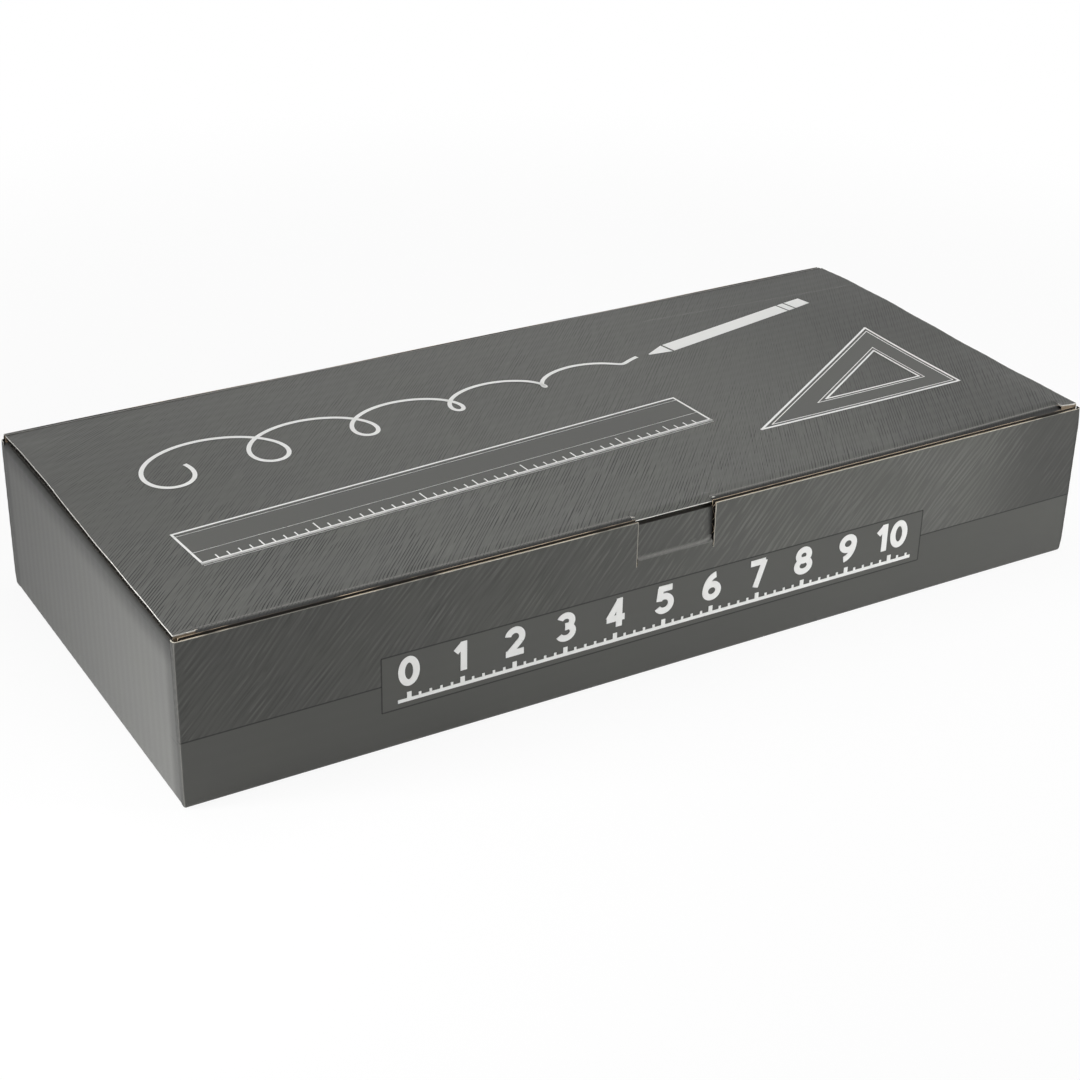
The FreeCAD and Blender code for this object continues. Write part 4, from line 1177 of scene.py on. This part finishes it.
class CARTON_OT_creases(bpy.types.Operator):
    """Make the strips of liner that run on over the three creases"""

    bl_idname = "carton.creases"
    bl_label = "Creases"

    def execute(self, context):
        self.board = context.scene.carton_board
        inner = corners("back_wall")[0][1]
        (_, front, under), (lid_half, _, top) = corners("lid_panel")
        self.strip("lid_crease_inner", ("carton", "lid"), np.array((inner, under)), lid_half, "kraft_face",
                   [(-0.02, -1.6), (-0.1, -0.9), (-0.4, -0.35), (-1.0, -0.06), (-1.9, -0.02)], inside=True)
        self.strip("lid_crease_outer", ("carton", "lid"), np.array((inner, top)), lid_half, "lid_print",
                   [(0.36, 0), (0, 0), (-0.3, 0), (-0.62, 0)])
        out = np.array((-math.cos(TUCK_LEAN), -math.sin(TUCK_LEAN)))
        down = np.array((math.sin(TUCK_LEAN), -math.cos(TUCK_LEAN)))
        tuck_top = (np.array((BOARD, 0)) + BOARD * out + CREASE_GAP * down) / MM
        # The tuck crease's strip is darkened all over: painted shade in the gap under the lid's fold.
        self.strip("tuck_crease_outer", ("lid", "tuck"), np.array((front, under)), corners("tuck_flap")[1][0],
                   "lid_print", [(0, 0.42), (-0.01, 0), tuck_top + (-0.01, 0.25), tuck_top], gap=WINDOW_HALF,
                   wear=-1.0)
        tab_low, tab_high = corners("lock_tab")
        crease = np.array((corners("front_wall")[0][1], tab_low[2] - CREASE_GAP))
        self.strip("tab_crease_outer", ("carton", "tab"), crease, tab_high[0], "front_print",
                   [(0, -0.02), (0.01, 0.1), (0.04, 0.3)])
        self.strip("tab_crease_inner", ("carton", "tab"), crease, tab_high[0], "kraft_face",
                   [(2.9, -0.3), (2.95, 0.6), (3.1, 1.9)], inside=True)
        return {"FINISHED"}

    def strip(self, name, bodies, origin, half, face, line, inside=False, gap=0.0, wear=0.6):
        """One strip: a line of depths and heights, in millimetres from an origin, carried along the carton's length
        and thickened away from its face. It leaves out a gap in its middle."""
        line = origin + np.array(line) * MM
        steps = np.concatenate([[0], np.cumsum(np.linalg.norm(np.diff(line, axis=0), axis=1))])
        fine = np.linspace(0, steps[-1], 13)
        spots = np.stack([np.interp(fine, steps, line[:, axis]) for axis in (0, 1)], axis=-1)
        side = left_of(spots, 1)
        halfway, carton_middle = len(fine) // 2, np.array((0, 0.03))
        if (side[halfway] @ (carton_middle - spots[halfway]) > 0) != inside:
            side = -side
        u = places(mirrored(half, *([gap] if gap else [])), 9 * MM)
        ahead = spots[halfway + 1] - spots[halfway]
        if np.cross((1, 0, 0), (0, *ahead))[1:] @ side[halfway] < 0:
            u = u[::-1]
        keep = np.broadcast_to((np.abs(middle(u)) > gap)[:, None], (len(u) - 1, len(fine) - 1))
        across, along = np.broadcast_arrays(u[:, None], fine[None] + spots[0][1])
        front, back = (np.stack(np.broadcast_arrays(across, *places_at.T[:, None]), axis=-1)
                       for places_at in (spots, spots - side * self.board.liner * 0.9))
        shape = Shape()
        # The third blank number pales the strip's print by 0.6 unless told otherwise, a pale crease that is a painted
        # highlight at the tab; under nought it is painted shade.
        shape.add_sheet(front, back, blank_of(across, along, wear=wear), keep)
        shape.piece(name, (*bodies, (0, *spots[0]), (0, *spots[-1])), skins(face, paper_edge=face),
                    "bare_board" if inside else "printed_board")


def straight(*stops):
    """A path of straight runs between stops, for each of which the band is drawn by itself."""
    return [np.linspace(start, end, 3) for start, end in zip(stops, stops[1:])]


def bowl(x, y, wide, high, start, end):
    """An ellipse's arc: its centre plus its half widths times the cosine and sine of an angle in degrees."""
    angle = np.radians(np.linspace(start, end, 41))
    return [np.stack([x + wide * np.cos(angle), y + high * np.sin(angle)], axis=-1)]


# The strokes of 0 to 9, as paths in a cell 0.62 wide and 1 high
SIX = bowl(0.31, 0.29, 0.31, 0.29, -90, 270) + bowl(0.55, 0.29, 0.55, 0.71, 96, 180)
DIGITS = [
    bowl(0.31, 0.5, 0.31, 0.5, -90, 270),
    straight((0.02, 0.72), (0.34, 1.02)) + straight((0.36, 1.13), (0.36, -0.13)),
    bowl(0.31, 0.69, 0.31, 0.31, 168, -38) + straight((0.555, 0.50), (0.03, 0.0)) + straight((-0.08, 0), (0.70, 0)),
    bowl(0.30, 0.745, 0.28, 0.255, 155, -95) + bowl(0.30, 0.27, 0.32, 0.27, 95, -155),
    straight((0.47, 1.13), (0.47, -0.13)) + straight((0.49, 1.06), (-0.02, 0.26))
    + straight((-0.10, 0.26), (0.72, 0.26)),
    straight((0.66, 1.0), (0.02, 1.0)) + straight((0.13, 1.05), (0.07, 0.46)) + bowl(0.29, 0.32, 0.33, 0.32, 135, -152),
    SIX,
    straight((-0.08, 1.0), (0.64, 1.0)) + straight((0.60, 1.06), (0.20, -0.13)),
    bowl(0.31, 0.75, 0.265, 0.25, -90, 270) + bowl(0.31, 0.27, 0.32, 0.27, -90, 270),
    [np.array((0.62, 1.0)) - path for path in SIX],
]


def heading(degrees):
    """Unit vectors along a direction and to the left of it."""
    turn = math.radians(degrees)
    return np.array((math.cos(turn), math.sin(turn))), np.array((-math.sin(turn), math.cos(turn)))


class CARTON_OT_artwork(bpy.types.Operator):
    """Print the generic line drawing on the lid and the plain scale in the front's frame"""

    bl_idname = "carton.artwork"
    bl_label = "Printed lines"

    def execute(self, context):
        self.top, self.wall = corners("lid_panel")[1][2], corners("front_wall")[0][1]
        ink, field = Shape(), Shape()
        self.ruler(ink, field)
        self.set_square(ink, field)
        self.loops(ink)
        self.pencil(ink)
        field.piece("lid_plain_fields", "lid", [materials["field_print"]] * 3, "printed_board")
        ink.piece("lid_white_lines", "lid", [materials["white_ink"]] * 3, "printed_board")
        self.scale()
        return {"FINISHED"}

    def patch(self, shape, spots, over=0.08 * MM):
        """A thin sheet of ink over a grid of places on the lid: its own height, its rise and a little over it."""
        x, y = spots[..., 0], spots[..., 1]
        points = np.stack([x, y, self.top + lid_rise(x, y) + over], axis=-1)
        shape.add_sheet(points, points - (0, 0, 0.09 * MM), blank_of(x, y, (0.9, 0.4)))

    def line(self, shape, spots, width):
        """A line of ink: the places of a path, and half the width to either side of it."""
        side = left_of(spots) * width / 2
        self.patch(shape, np.stack([spots - side, spots + side], axis=1))

    def outline(self, shape, stops, width):
        """Straight lines round a loop of stops, each cut into short runs that follow the lid."""
        for start, end in zip(stops, np.roll(stops, -1, axis=0)):
            ahead = unit(end - start) * width / 2
            share = np.linspace(0, 1, 24)[:, None]
            self.line(shape, (start - ahead) * (1 - share) + (end + ahead) * share, width)

    def ruler(self, ink, field):
        """A ruler: a plain band with an outline that is heavier below, two fine lines along it, and marks of three
        lengths along its lower edge."""
        start, length, width = np.array((-188, -50)) * MM, 250 * MM, 27 * MM
        ahead, side = heading(4)
        share, rise = np.meshgrid(np.linspace(0, 1, 50), np.linspace(0, 1, 5), indexing="ij")
        self.patch(field, start + share[..., None] * length * ahead + rise[..., None] * width * side, 0.05 * MM)
        end = start + length * ahead
        self.outline(ink, [start, end, end + width * side, start + width * side], 1.0 * MM)
        for level, stroke in ((-0.9, 1.3), (9.0, 0.45), (24.4, 0.45), (-2.4, 0.4)):
            low = start + level * MM * side
            self.outline(ink, [low, low + length * ahead], stroke * MM)
        for mark in range(1, 49):
            tall = (6.0 if mark % 10 == 0 else 4.6 if mark % 5 == 0 else 3.0) * MM
            foot = start + (mark * 5 + 2.5) * MM * ahead + 0.5 * MM * side
            self.line(ink, np.array([foot, foot + tall * side]), 0.6 * MM)

    def set_square(self, ink, field):
        """A set square: a plain right-angled band between two outlines, each with a fine line beside it, drawn as
        four triangles about one centre."""
        centre = np.array((162.8, -26.8)) * MM
        outer, hole = np.array([(76, -52), (188, -52), (188, 19)]) * MM - centre, 0.48
        share = np.linspace(0, 1, 20)[:, None]
        around = np.concatenate([start * (1 - share) + end * share
                                 for start, end in zip(outer, np.roll(outer, -1, axis=0))])
        around = np.concatenate([around, around[:1]])
        self.patch(field, centre + np.stack([around, around * hole], axis=1), 0.05 * MM)
        for scale, stroke in ((1.0, 1.1), (0.92, 0.45), (hole, 0.9), (0.55, 0.4)):
            self.outline(ink, centre + outer * scale, stroke * MM)

    def loops(self, ink):
        """A free-hand line: a circle's turns carried along, each smaller than the one before."""
        turns = np.linspace(-0.25, 5.25, 420)
        size = np.interp(turns, [-0.25, 1, 4.5, 5.25], [19, 16, 6, 2])
        x = -172 + 46.5 * turns - size * 1.15 * np.sin(turns * TAU)
        y = 33 + 1.6 * turns - size * np.cos(turns * TAU)
        self.line(ink, np.stack([x, y], axis=-1) * MM, 2.0 * MM)

    def pencil(self, ink):
        """A pencil: a solid white barrel, two gaps, and a point, each run with its start, end and two half widths."""
        tip, (ahead, side) = np.array((76, 41)) * MM, heading(11)
        share, rise = np.meshgrid(np.linspace(0, 1, 8), (-1, 1), indexing="ij")
        for start, end, low, high in ((0.6, 12, 0.4, 4.2), (13.2, 92, 4.2, 4.2), (93, 97, 4.2, 4.2),
                                      (98, 108, 4.2, 3.9)):
            reach, half = start + share * (end - start), low + share * (high - low)
            self.patch(ink, tip + (reach[..., None] * ahead + (rise * half)[..., None] * side) * MM)

    def scale(self):
        """The scale in the frame: plain numbers over a ruled bar with marks, as one print."""
        marks, numbers = Shape(), Shape()
        left, right, foot, bar = -129 * MM, 127 * MM, 20.6 * MM, 1.5 * MM
        first, step, between = -124 * MM, 23.9 * MM, 5
        self.block(marks, left, right, foot, foot + bar)
        for mark in range(10 * between + 3):
            x = first + step * mark / between
            half, tall = (1.0, 4.2) if mark % between == 0 else (0.55, 2.9)
            self.block(marks, x - half * MM, x + half * MM, foot + bar, foot + tall * MM)
        marks.piece("front_scale_marks", "carton", [materials["white_ink"]] * 3, "printed_board")
        for number in range(11):
            self.number(numbers, number, first + step * number, foot + 7 * MM)
        numbers.piece("front_scale_numbers", "carton", [materials["white_ink"]] * 3, "printed_board")

    def on_wall(self, shape, spots, over=0.05 * MM):
        """A thin sheet of ink over a grid of places on the front wall."""
        x, z = spots[..., 0], spots[..., 1]
        front = np.stack([x, np.full(x.shape, self.wall - over), z], axis=-1)
        shape.add_sheet(front, front + (0, 0.20 * MM, 0), blank_of(x, z))

    def block(self, shape, left, right, low, high):
        """A rectangle of ink on the front wall."""
        across = np.linspace(left, right, max(2, int((right - left) / (9 * MM))))
        self.on_wall(shape, np.stack(np.meshgrid(across, (low, high), indexing="ij"), axis=-1))

    def number(self, shape, number, x, foot):
        """One printed number: its digits' strokes, each a band of one width about its path, on the front wall."""
        height, width, advance = 10.6 * MM, 2.9 * MM, 0.80
        digits = [DIGITS[int(digit)] for digit in str(number)]
        start = x - (0.31 + 0.39 * (len(digits) - 1)) * height
        for order, digit in enumerate(digits):
            for layer, path in enumerate(digit):
                spots = np.array((start + order * advance * height, foot + width / 2)) + path * height
                side = left_of(spots) * width / 2
                self.on_wall(shape, np.stack([spots + side, spots - side], axis=1)[::-1], (0.05 + 0.01 * layer) * MM)


# Pieces inside the carton


def paint(node, material):
    """Give a CAD node one of the finishes."""
    slots = frame["nodes"][node].data.materials
    slots.clear()
    slots.append(materials[material])


def softened(node, body, name, material, width, slot, segments=2, angle=32):
    """A copy of a CAD node whose flat faces are made whole and whose edges are rounded by a live bevel."""
    mesh = frame["nodes"][node].data.copy()
    mesh.name = name
    solid = bmesh.new()
    solid.from_mesh(mesh)
    bmesh.ops.remove_doubles(solid, verts=solid.verts, dist=0.002 * MM)
    bmesh.ops.dissolve_limit(solid, angle_limit=math.radians(0.6), verts=solid.verts, edges=solid.edges)
    solid.to_mesh(mesh)
    solid.free()
    mesh.materials.clear()
    mesh.materials.append(materials[material])
    mesh.polygons.foreach_set("material_index", np.zeros(len(mesh.polygons), np.int32))
    mesh.polygons.foreach_set("use_smooth", np.ones(len(mesh.polygons), bool))
    obj = handed_over(name, mesh, body, slot, [node])
    bevel = obj.modifiers.new("Soft edges", "BEVEL")
    bevel.width, bevel.segments, bevel.limit_method = width, segments, "ANGLE"
    bevel.angle_limit, bevel.harden_normals = math.radians(angle), True
    return obj


class CARTON_OT_foam(bpy.types.Operator):
    """Make the two foam end caps, with soft cut edges"""

    bl_idname = "carton.foam"
    bl_label = "Foam caps"

    def execute(self, context):
        for word in SIDES:
            softened(f"foam_cap_{word}", "carton", f"foam_{word}", "foam", 1.4 * MM, "foam", 3)
        return {"FINISHED"}


class CARTON_OT_whiteboard(bpy.types.Operator):
    """Make the whiteboard: shell, ends, base, feet, screws, steel sheet and glass"""

    bl_idname = "carton.whiteboard"
    bl_label = "Desk whiteboard"

    def execute(self, context):
        bevel = context.scene.carton_content.bevel
        softened("board_housing", "whiteboard", "whiteboard_shell", "shell", bevel, "white_shell")
        for word in SIDES:
            softened(f"board_end_{word}", "whiteboard", f"whiteboard_end_{word}", "shell", bevel, "white_shell")
        softened("board_base", "whiteboard", "whiteboard_base", "shell", 0.3 * MM, "white_shell")
        softened("rubber_feet", "whiteboard", "whiteboard_feet", "rubber", 0.4 * MM, "rubber")
        glass = softened("writing_glass", "whiteboard", "whiteboard_glass", "glass", 0.7 * MM, "white_glass", 3).data
        glass.materials.append(materials["glass_edge"])
        normals = np.empty((len(glass.polygons), 3), np.float32)
        glass.polygons.foreach_get("normal", normals.ravel())
        steep = np.abs(normals[:, 2]) < 0.7
        glass.polygons.foreach_set("material_index", steep.astype(np.int32))
        paint("base_screws", "zinc")
        paint("steel_sheet", "steel")
        return {"FINISHED"}


def turned(name, body, material, slot, replaced, start, profile, ribs=None, closed=False):
    """A piece turned about a line along X: each point is the profile's radius, times one plus the ribs' share, at an
    angle about the line. The profile runs from the line on the left to the line on the right, or in a closed loop."""
    profile = np.array(profile, float) * MM
    reach, turn = np.meshgrid(profile[:, 1], np.linspace(0, TAU, 96, endpoint=False), indexing="ij")
    along = np.broadcast_to(profile[:, :1], reach.shape)
    if ribs:
        reach = reach * (1 + ribs(along, turn))
    points = np.stack([start[0] + along, start[1] + reach * np.cos(turn), start[2] - reach * np.sin(turn)], axis=-1)
    index = np.arange(reach.size).reshape(reach.shape)
    if closed:
        index = np.concatenate([index, index[:1]])
    following = np.roll(index, -1, axis=1)
    quads = np.stack([index[:-1], following[:-1], following[1:], index[1:]], axis=-1)
    mesh = bpy.data.meshes.new(name)
    mesh.from_pydata(points.reshape(-1, 3).tolist(), [], quads.reshape(-1, 4).tolist())
    solid = bmesh.new()
    solid.from_mesh(mesh)
    bmesh.ops.remove_doubles(solid, verts=solid.verts, dist=0.001 * MM)
    bmesh.ops.recalc_face_normals(solid, faces=solid.faces)
    solid.to_mesh(mesh)
    solid.free()
    mesh.polygons.foreach_set("use_smooth", np.ones(len(mesh.polygons), bool))
    mesh.set_sharp_from_angle(angle=math.radians(40))
    mesh.materials.append(materials[material])
    return handed_over(name, mesh, body, slot, [replaced])


class CARTON_OT_marker(bpy.types.Operator):
    """Make the marker: barrel, end plug, nib, ribbed cap and the felt in its crown"""

    bl_idname = "carton.marker"
    bl_label = "Marker"

    def execute(self, context):
        low, high = corners("marker_end_plug")
        radius = 7.2
        start = (low[0], (low[1] + high[1]) / 2, corners("marker_barrel")[1][2] - radius * MM)
        turned("barrel", "marker", "white", "marker_white", "marker_barrel", start, [
            (4, 5.8), (4, 6.4), (4.3, 6.9), (5, radius), (30, radius), (60, radius), (95.2, radius), (96, 6.9),
            (96, 5.9), (96.4, 5.6), (111, 5.6), (112, 5.4), (116, 4.0), (119.4, 2.8), (120, 2.4), (120, 1.7),
            (88, 1.7), (88, 5.8)], closed=True)
        turned("end_plug", "marker", "black", "marker_black", "marker_end_plug", start, [
            (0, 0), (0, 3.6), (0.2, 4.8), (0.8, 5.7), (1.8, 6.15), (4, 6.2), (4, 5.8), (9, 5.8), (9, 0)])
        turned("nib", "marker", "felt", "felt", "marker_nib", start, [
            (87.7, 0), (87.7, 1.7), (121.8, 1.7), (122.8, 1.5), (123.6, 1.15), (124, 0.85), (124, 0)])
        turned("cap", "cap", "black", "marker_black", "marker_cap", start, [
            (96.3, 5.9), (96.3, 6.9), (96.7, radius), (100, radius), (104, radius), (106, radius), (115, radius),
            (124, radius), (126, radius), (134.5, radius), (135.8, 6.95), (136.3, 6.4), (136.3, 5.4), (134.3, 5.4),
            (134.3, 0.0), (129.3, 0.0), (129.3, 3.4), (120.3, 5.9)], self.ribs, closed=True)
        turned("wiper", "cap", "felt", "felt", "cap_felt", start, [
            (134.3, 0), (134.3, 5.4), (137.6, 5.35), (138.2, 5.0), (138.3, 4.4), (138.3, 0)])
        paint("marker_ink_core", "felt")
        return {"FINISHED"}

    def ribs(self, along, turn):
        """Grip ribs: 24 rounded ridges round the middle of the cap, which fade out at both ends."""
        fade = np.clip((along / MM - 104) / 2, 0, 1) * np.clip((126 - along / MM) / 2, 0, 1)
        return -0.035 * fade * (0.5 - 0.5 * np.cos(24 * turn))


class CARTON_OT_magnet(bpy.types.Operator):
    """Make the button magnet: a soft-edged cap over a nickel disc"""

    bl_idname = "carton.magnet"
    bl_label = "Button magnet"

    def execute(self, context):
        softened("magnet_cap", "magnet", "magnet_button", "black", 0.5 * MM, "marker_black", 3, 25)
        paint("magnet_disc", "nickel")
        return {"FINISHED"}


# Stage


class CARTON_OT_stage(bpy.types.Operator):
    """Set the pale floor, the sky, the softboxes and the camera"""

    bl_idname = "carton.stage"
    bl_label = "Stage"

    def execute(self, context):
        stage = context.scene.carton_stage
        self.floor()
        self.sky(context, stage)
        self.softbox("key_softbox", (-0.80, 0.02, 0.22), (-0.22, -0.20, 0.0), 0.25, 50, stage.key)
        self.softbox("top_softbox", (-0.05, 0.15, 1.35), (0, 0, 0.07), 0.90, 180, stage.top)
        self.softbox("side_softbox", (0.95, -0.75, 0.35), (0.15, -0.10, 0.03), 0.35, 50, stage.side)
        self.camera(context, stage)
        context.scene.view_settings.view_transform = "Standard"
        return {"FINISHED"}

    def floor(self):
        """A square floor. Seen directly, 92% of it is an even white glow, and the rest is its own lit face with the
        carton's shadow. From 0.30 to 0.75 m off the middle the glow takes over the rest too."""
        size, level = 6.0, -0.3 * MM
        mesh = bpy.data.meshes.new("floor")
        mesh.from_pydata([(x * size, y * size, level) for x, y in ((-1, -1), (1, -1), (1, 1), (-1, 1))], [],
                         [(0, 1, 2, 3)])
        obj = bpy.data.objects.new("floor", mesh)
        bpy.context.scene.collection.objects.link(obj)
        finish = Finish("pale_floor")
        place = finish.object_place()
        cloud = finish.noise(place, 0.3, 2.0)
        diffuse = finish.node("ShaderNodeBsdfDiffuse", None,
                              {"Color": finish.mixed(cloud, rgba((0.84, 0.84, 0.84)), rgba((0.86, 0.86, 0.86)))})
        glow = finish.node("ShaderNodeEmission", None, {"Color": WHITE, "Strength": 1.0})
        x, y, _ = finish.parts(place)
        far = finish.eased(x * x + y * y, 0.30 ** 2, 0.75 ** 2)
        mesh.materials.append(finish.blended(self.seen_directly(finish) * (0.92 + far * 0.08), diffuse, glow))

    def seen_directly(self, finish):
        """One for rays that come from the camera, a gloss or a clear piece, and nought for the light itself."""
        rays = finish.node("ShaderNodeLightPath").outputs
        camera, gloss, clear = (Number(finish, rays[f"Is {kind} Ray"]) for kind in ("Camera", "Glossy", "Transmission"))
        return (camera + gloss + clear).at_most(1.0)

    def sky(self, context, stage):
        """Even light from all round, which is seen as plain white."""
        finish = Finish("sky", "worlds")
        light = finish.node("ShaderNodeBackground", None, {"Color": WHITE, "Strength": stage.sky})
        white = finish.node("ShaderNodeBackground", None, {"Color": WHITE, "Strength": 1.0})
        context.scene.world = finish.blended(self.seen_directly(finish), light, white, "World")

    def softbox(self, name, at, aim, size, spread, power):
        """A square area light at a place, aimed at another, with its spread in degrees."""
        light = bpy.data.lights.new(name, "AREA")
        light.shape, light.size, light.energy, light.spread = "SQUARE", size, power, math.radians(spread)
        obj = bpy.data.objects.new(name, light)
        obj.location = at
        obj.rotation_euler = (Vector(aim) - Vector(at)).to_track_quat("-Z", "Y").to_euler()
        bpy.context.scene.collection.objects.link(obj)

    def camera(self, context, stage):
        """Stand the camera back from the base along its azimuth and elevation, turned by its roll."""
        azimuth, elevation, roll = stage.azimuth, stage.elevation, stage.roll
        back = Vector((math.sin(azimuth) * math.cos(elevation), -math.cos(azimuth) * math.cos(elevation),
                       math.sin(elevation)))
        right = Vector((0, 0, 1)).cross(back).normalized()
        up = back.cross(right)
        turned_right = math.cos(roll) * right + math.sin(roll) * up
        turned_up = math.cos(roll) * up - math.sin(roll) * right
        data = bpy.data.cameras.new("camera")
        data.lens, data.sensor_width, data.clip_start, data.clip_end = stage.lens, 36.0, 0.01, 50.0
        obj = bpy.data.objects.new("camera", data)
        turn = Matrix((turned_right, turned_up, back)).transposed().to_4x4()
        place = back * stage.distance + turned_right * stage.shift_right + turned_up * stage.shift_up
        obj.matrix_world = Matrix.Translation(place) @ turn
        context.scene.collection.objects.link(obj)
        context.scene.camera = obj


OPERATORS = (CARTON_OT_floor_and_flaps, CARTON_OT_walls, CARTON_OT_sides, CARTON_OT_lid, CARTON_OT_tuck_and_tab,
             CARTON_OT_creases, CARTON_OT_artwork, CARTON_OT_foam, CARTON_OT_whiteboard, CARTON_OT_marker,
             CARTON_OT_magnet, CARTON_OT_stage)
SETTINGS = {"carton_board": CartonSettings, "carton_content": ContentSettings, "carton_stage": StageSettings}


class CARTON_PT_panel(bpy.types.Panel):
    """Lists the steps and their settings"""

    bl_idname = "CARTON_PT_panel"
    bl_label = "Mailer carton"
    bl_space_type = "VIEW_3D"
    bl_region_type = "UI"
    bl_category = "Carton"

    def draw(self, context):
        for operator in OPERATORS:
            self.layout.operator(operator.bl_idname)
        for name, group in SETTINGS.items():
            for item in group.__annotations__:
                self.layout.prop(getattr(context.scene, name), item)


CLASSES = (*SETTINGS.values(), *OPERATORS, CARTON_PT_panel)


def register():
    """Register the classes and hang the settings on the scene."""
    for item in CLASSES:
        bpy.utils.register_class(item)
    for name, group in SETTINGS.items():
        setattr(bpy.types.Scene, name, PointerProperty(type=group))


def unregister():
    """Take the settings and the classes away again."""
    for name in SETTINGS:
        delattr(bpy.types.Scene, name)
    for item in reversed(CLASSES):
        bpy.utils.unregister_class(item)


def main():
    """Make everything in order."""
    register()
    scene = bpy.context.scene
    make_materials(scene.carton_board, scene.carton_content)
    for operator in OPERATORS:
        group, name = operator.bl_idname.split(".")
        getattr(getattr(bpy.ops, group), name)()


if __name__ == "__main__":
    main()
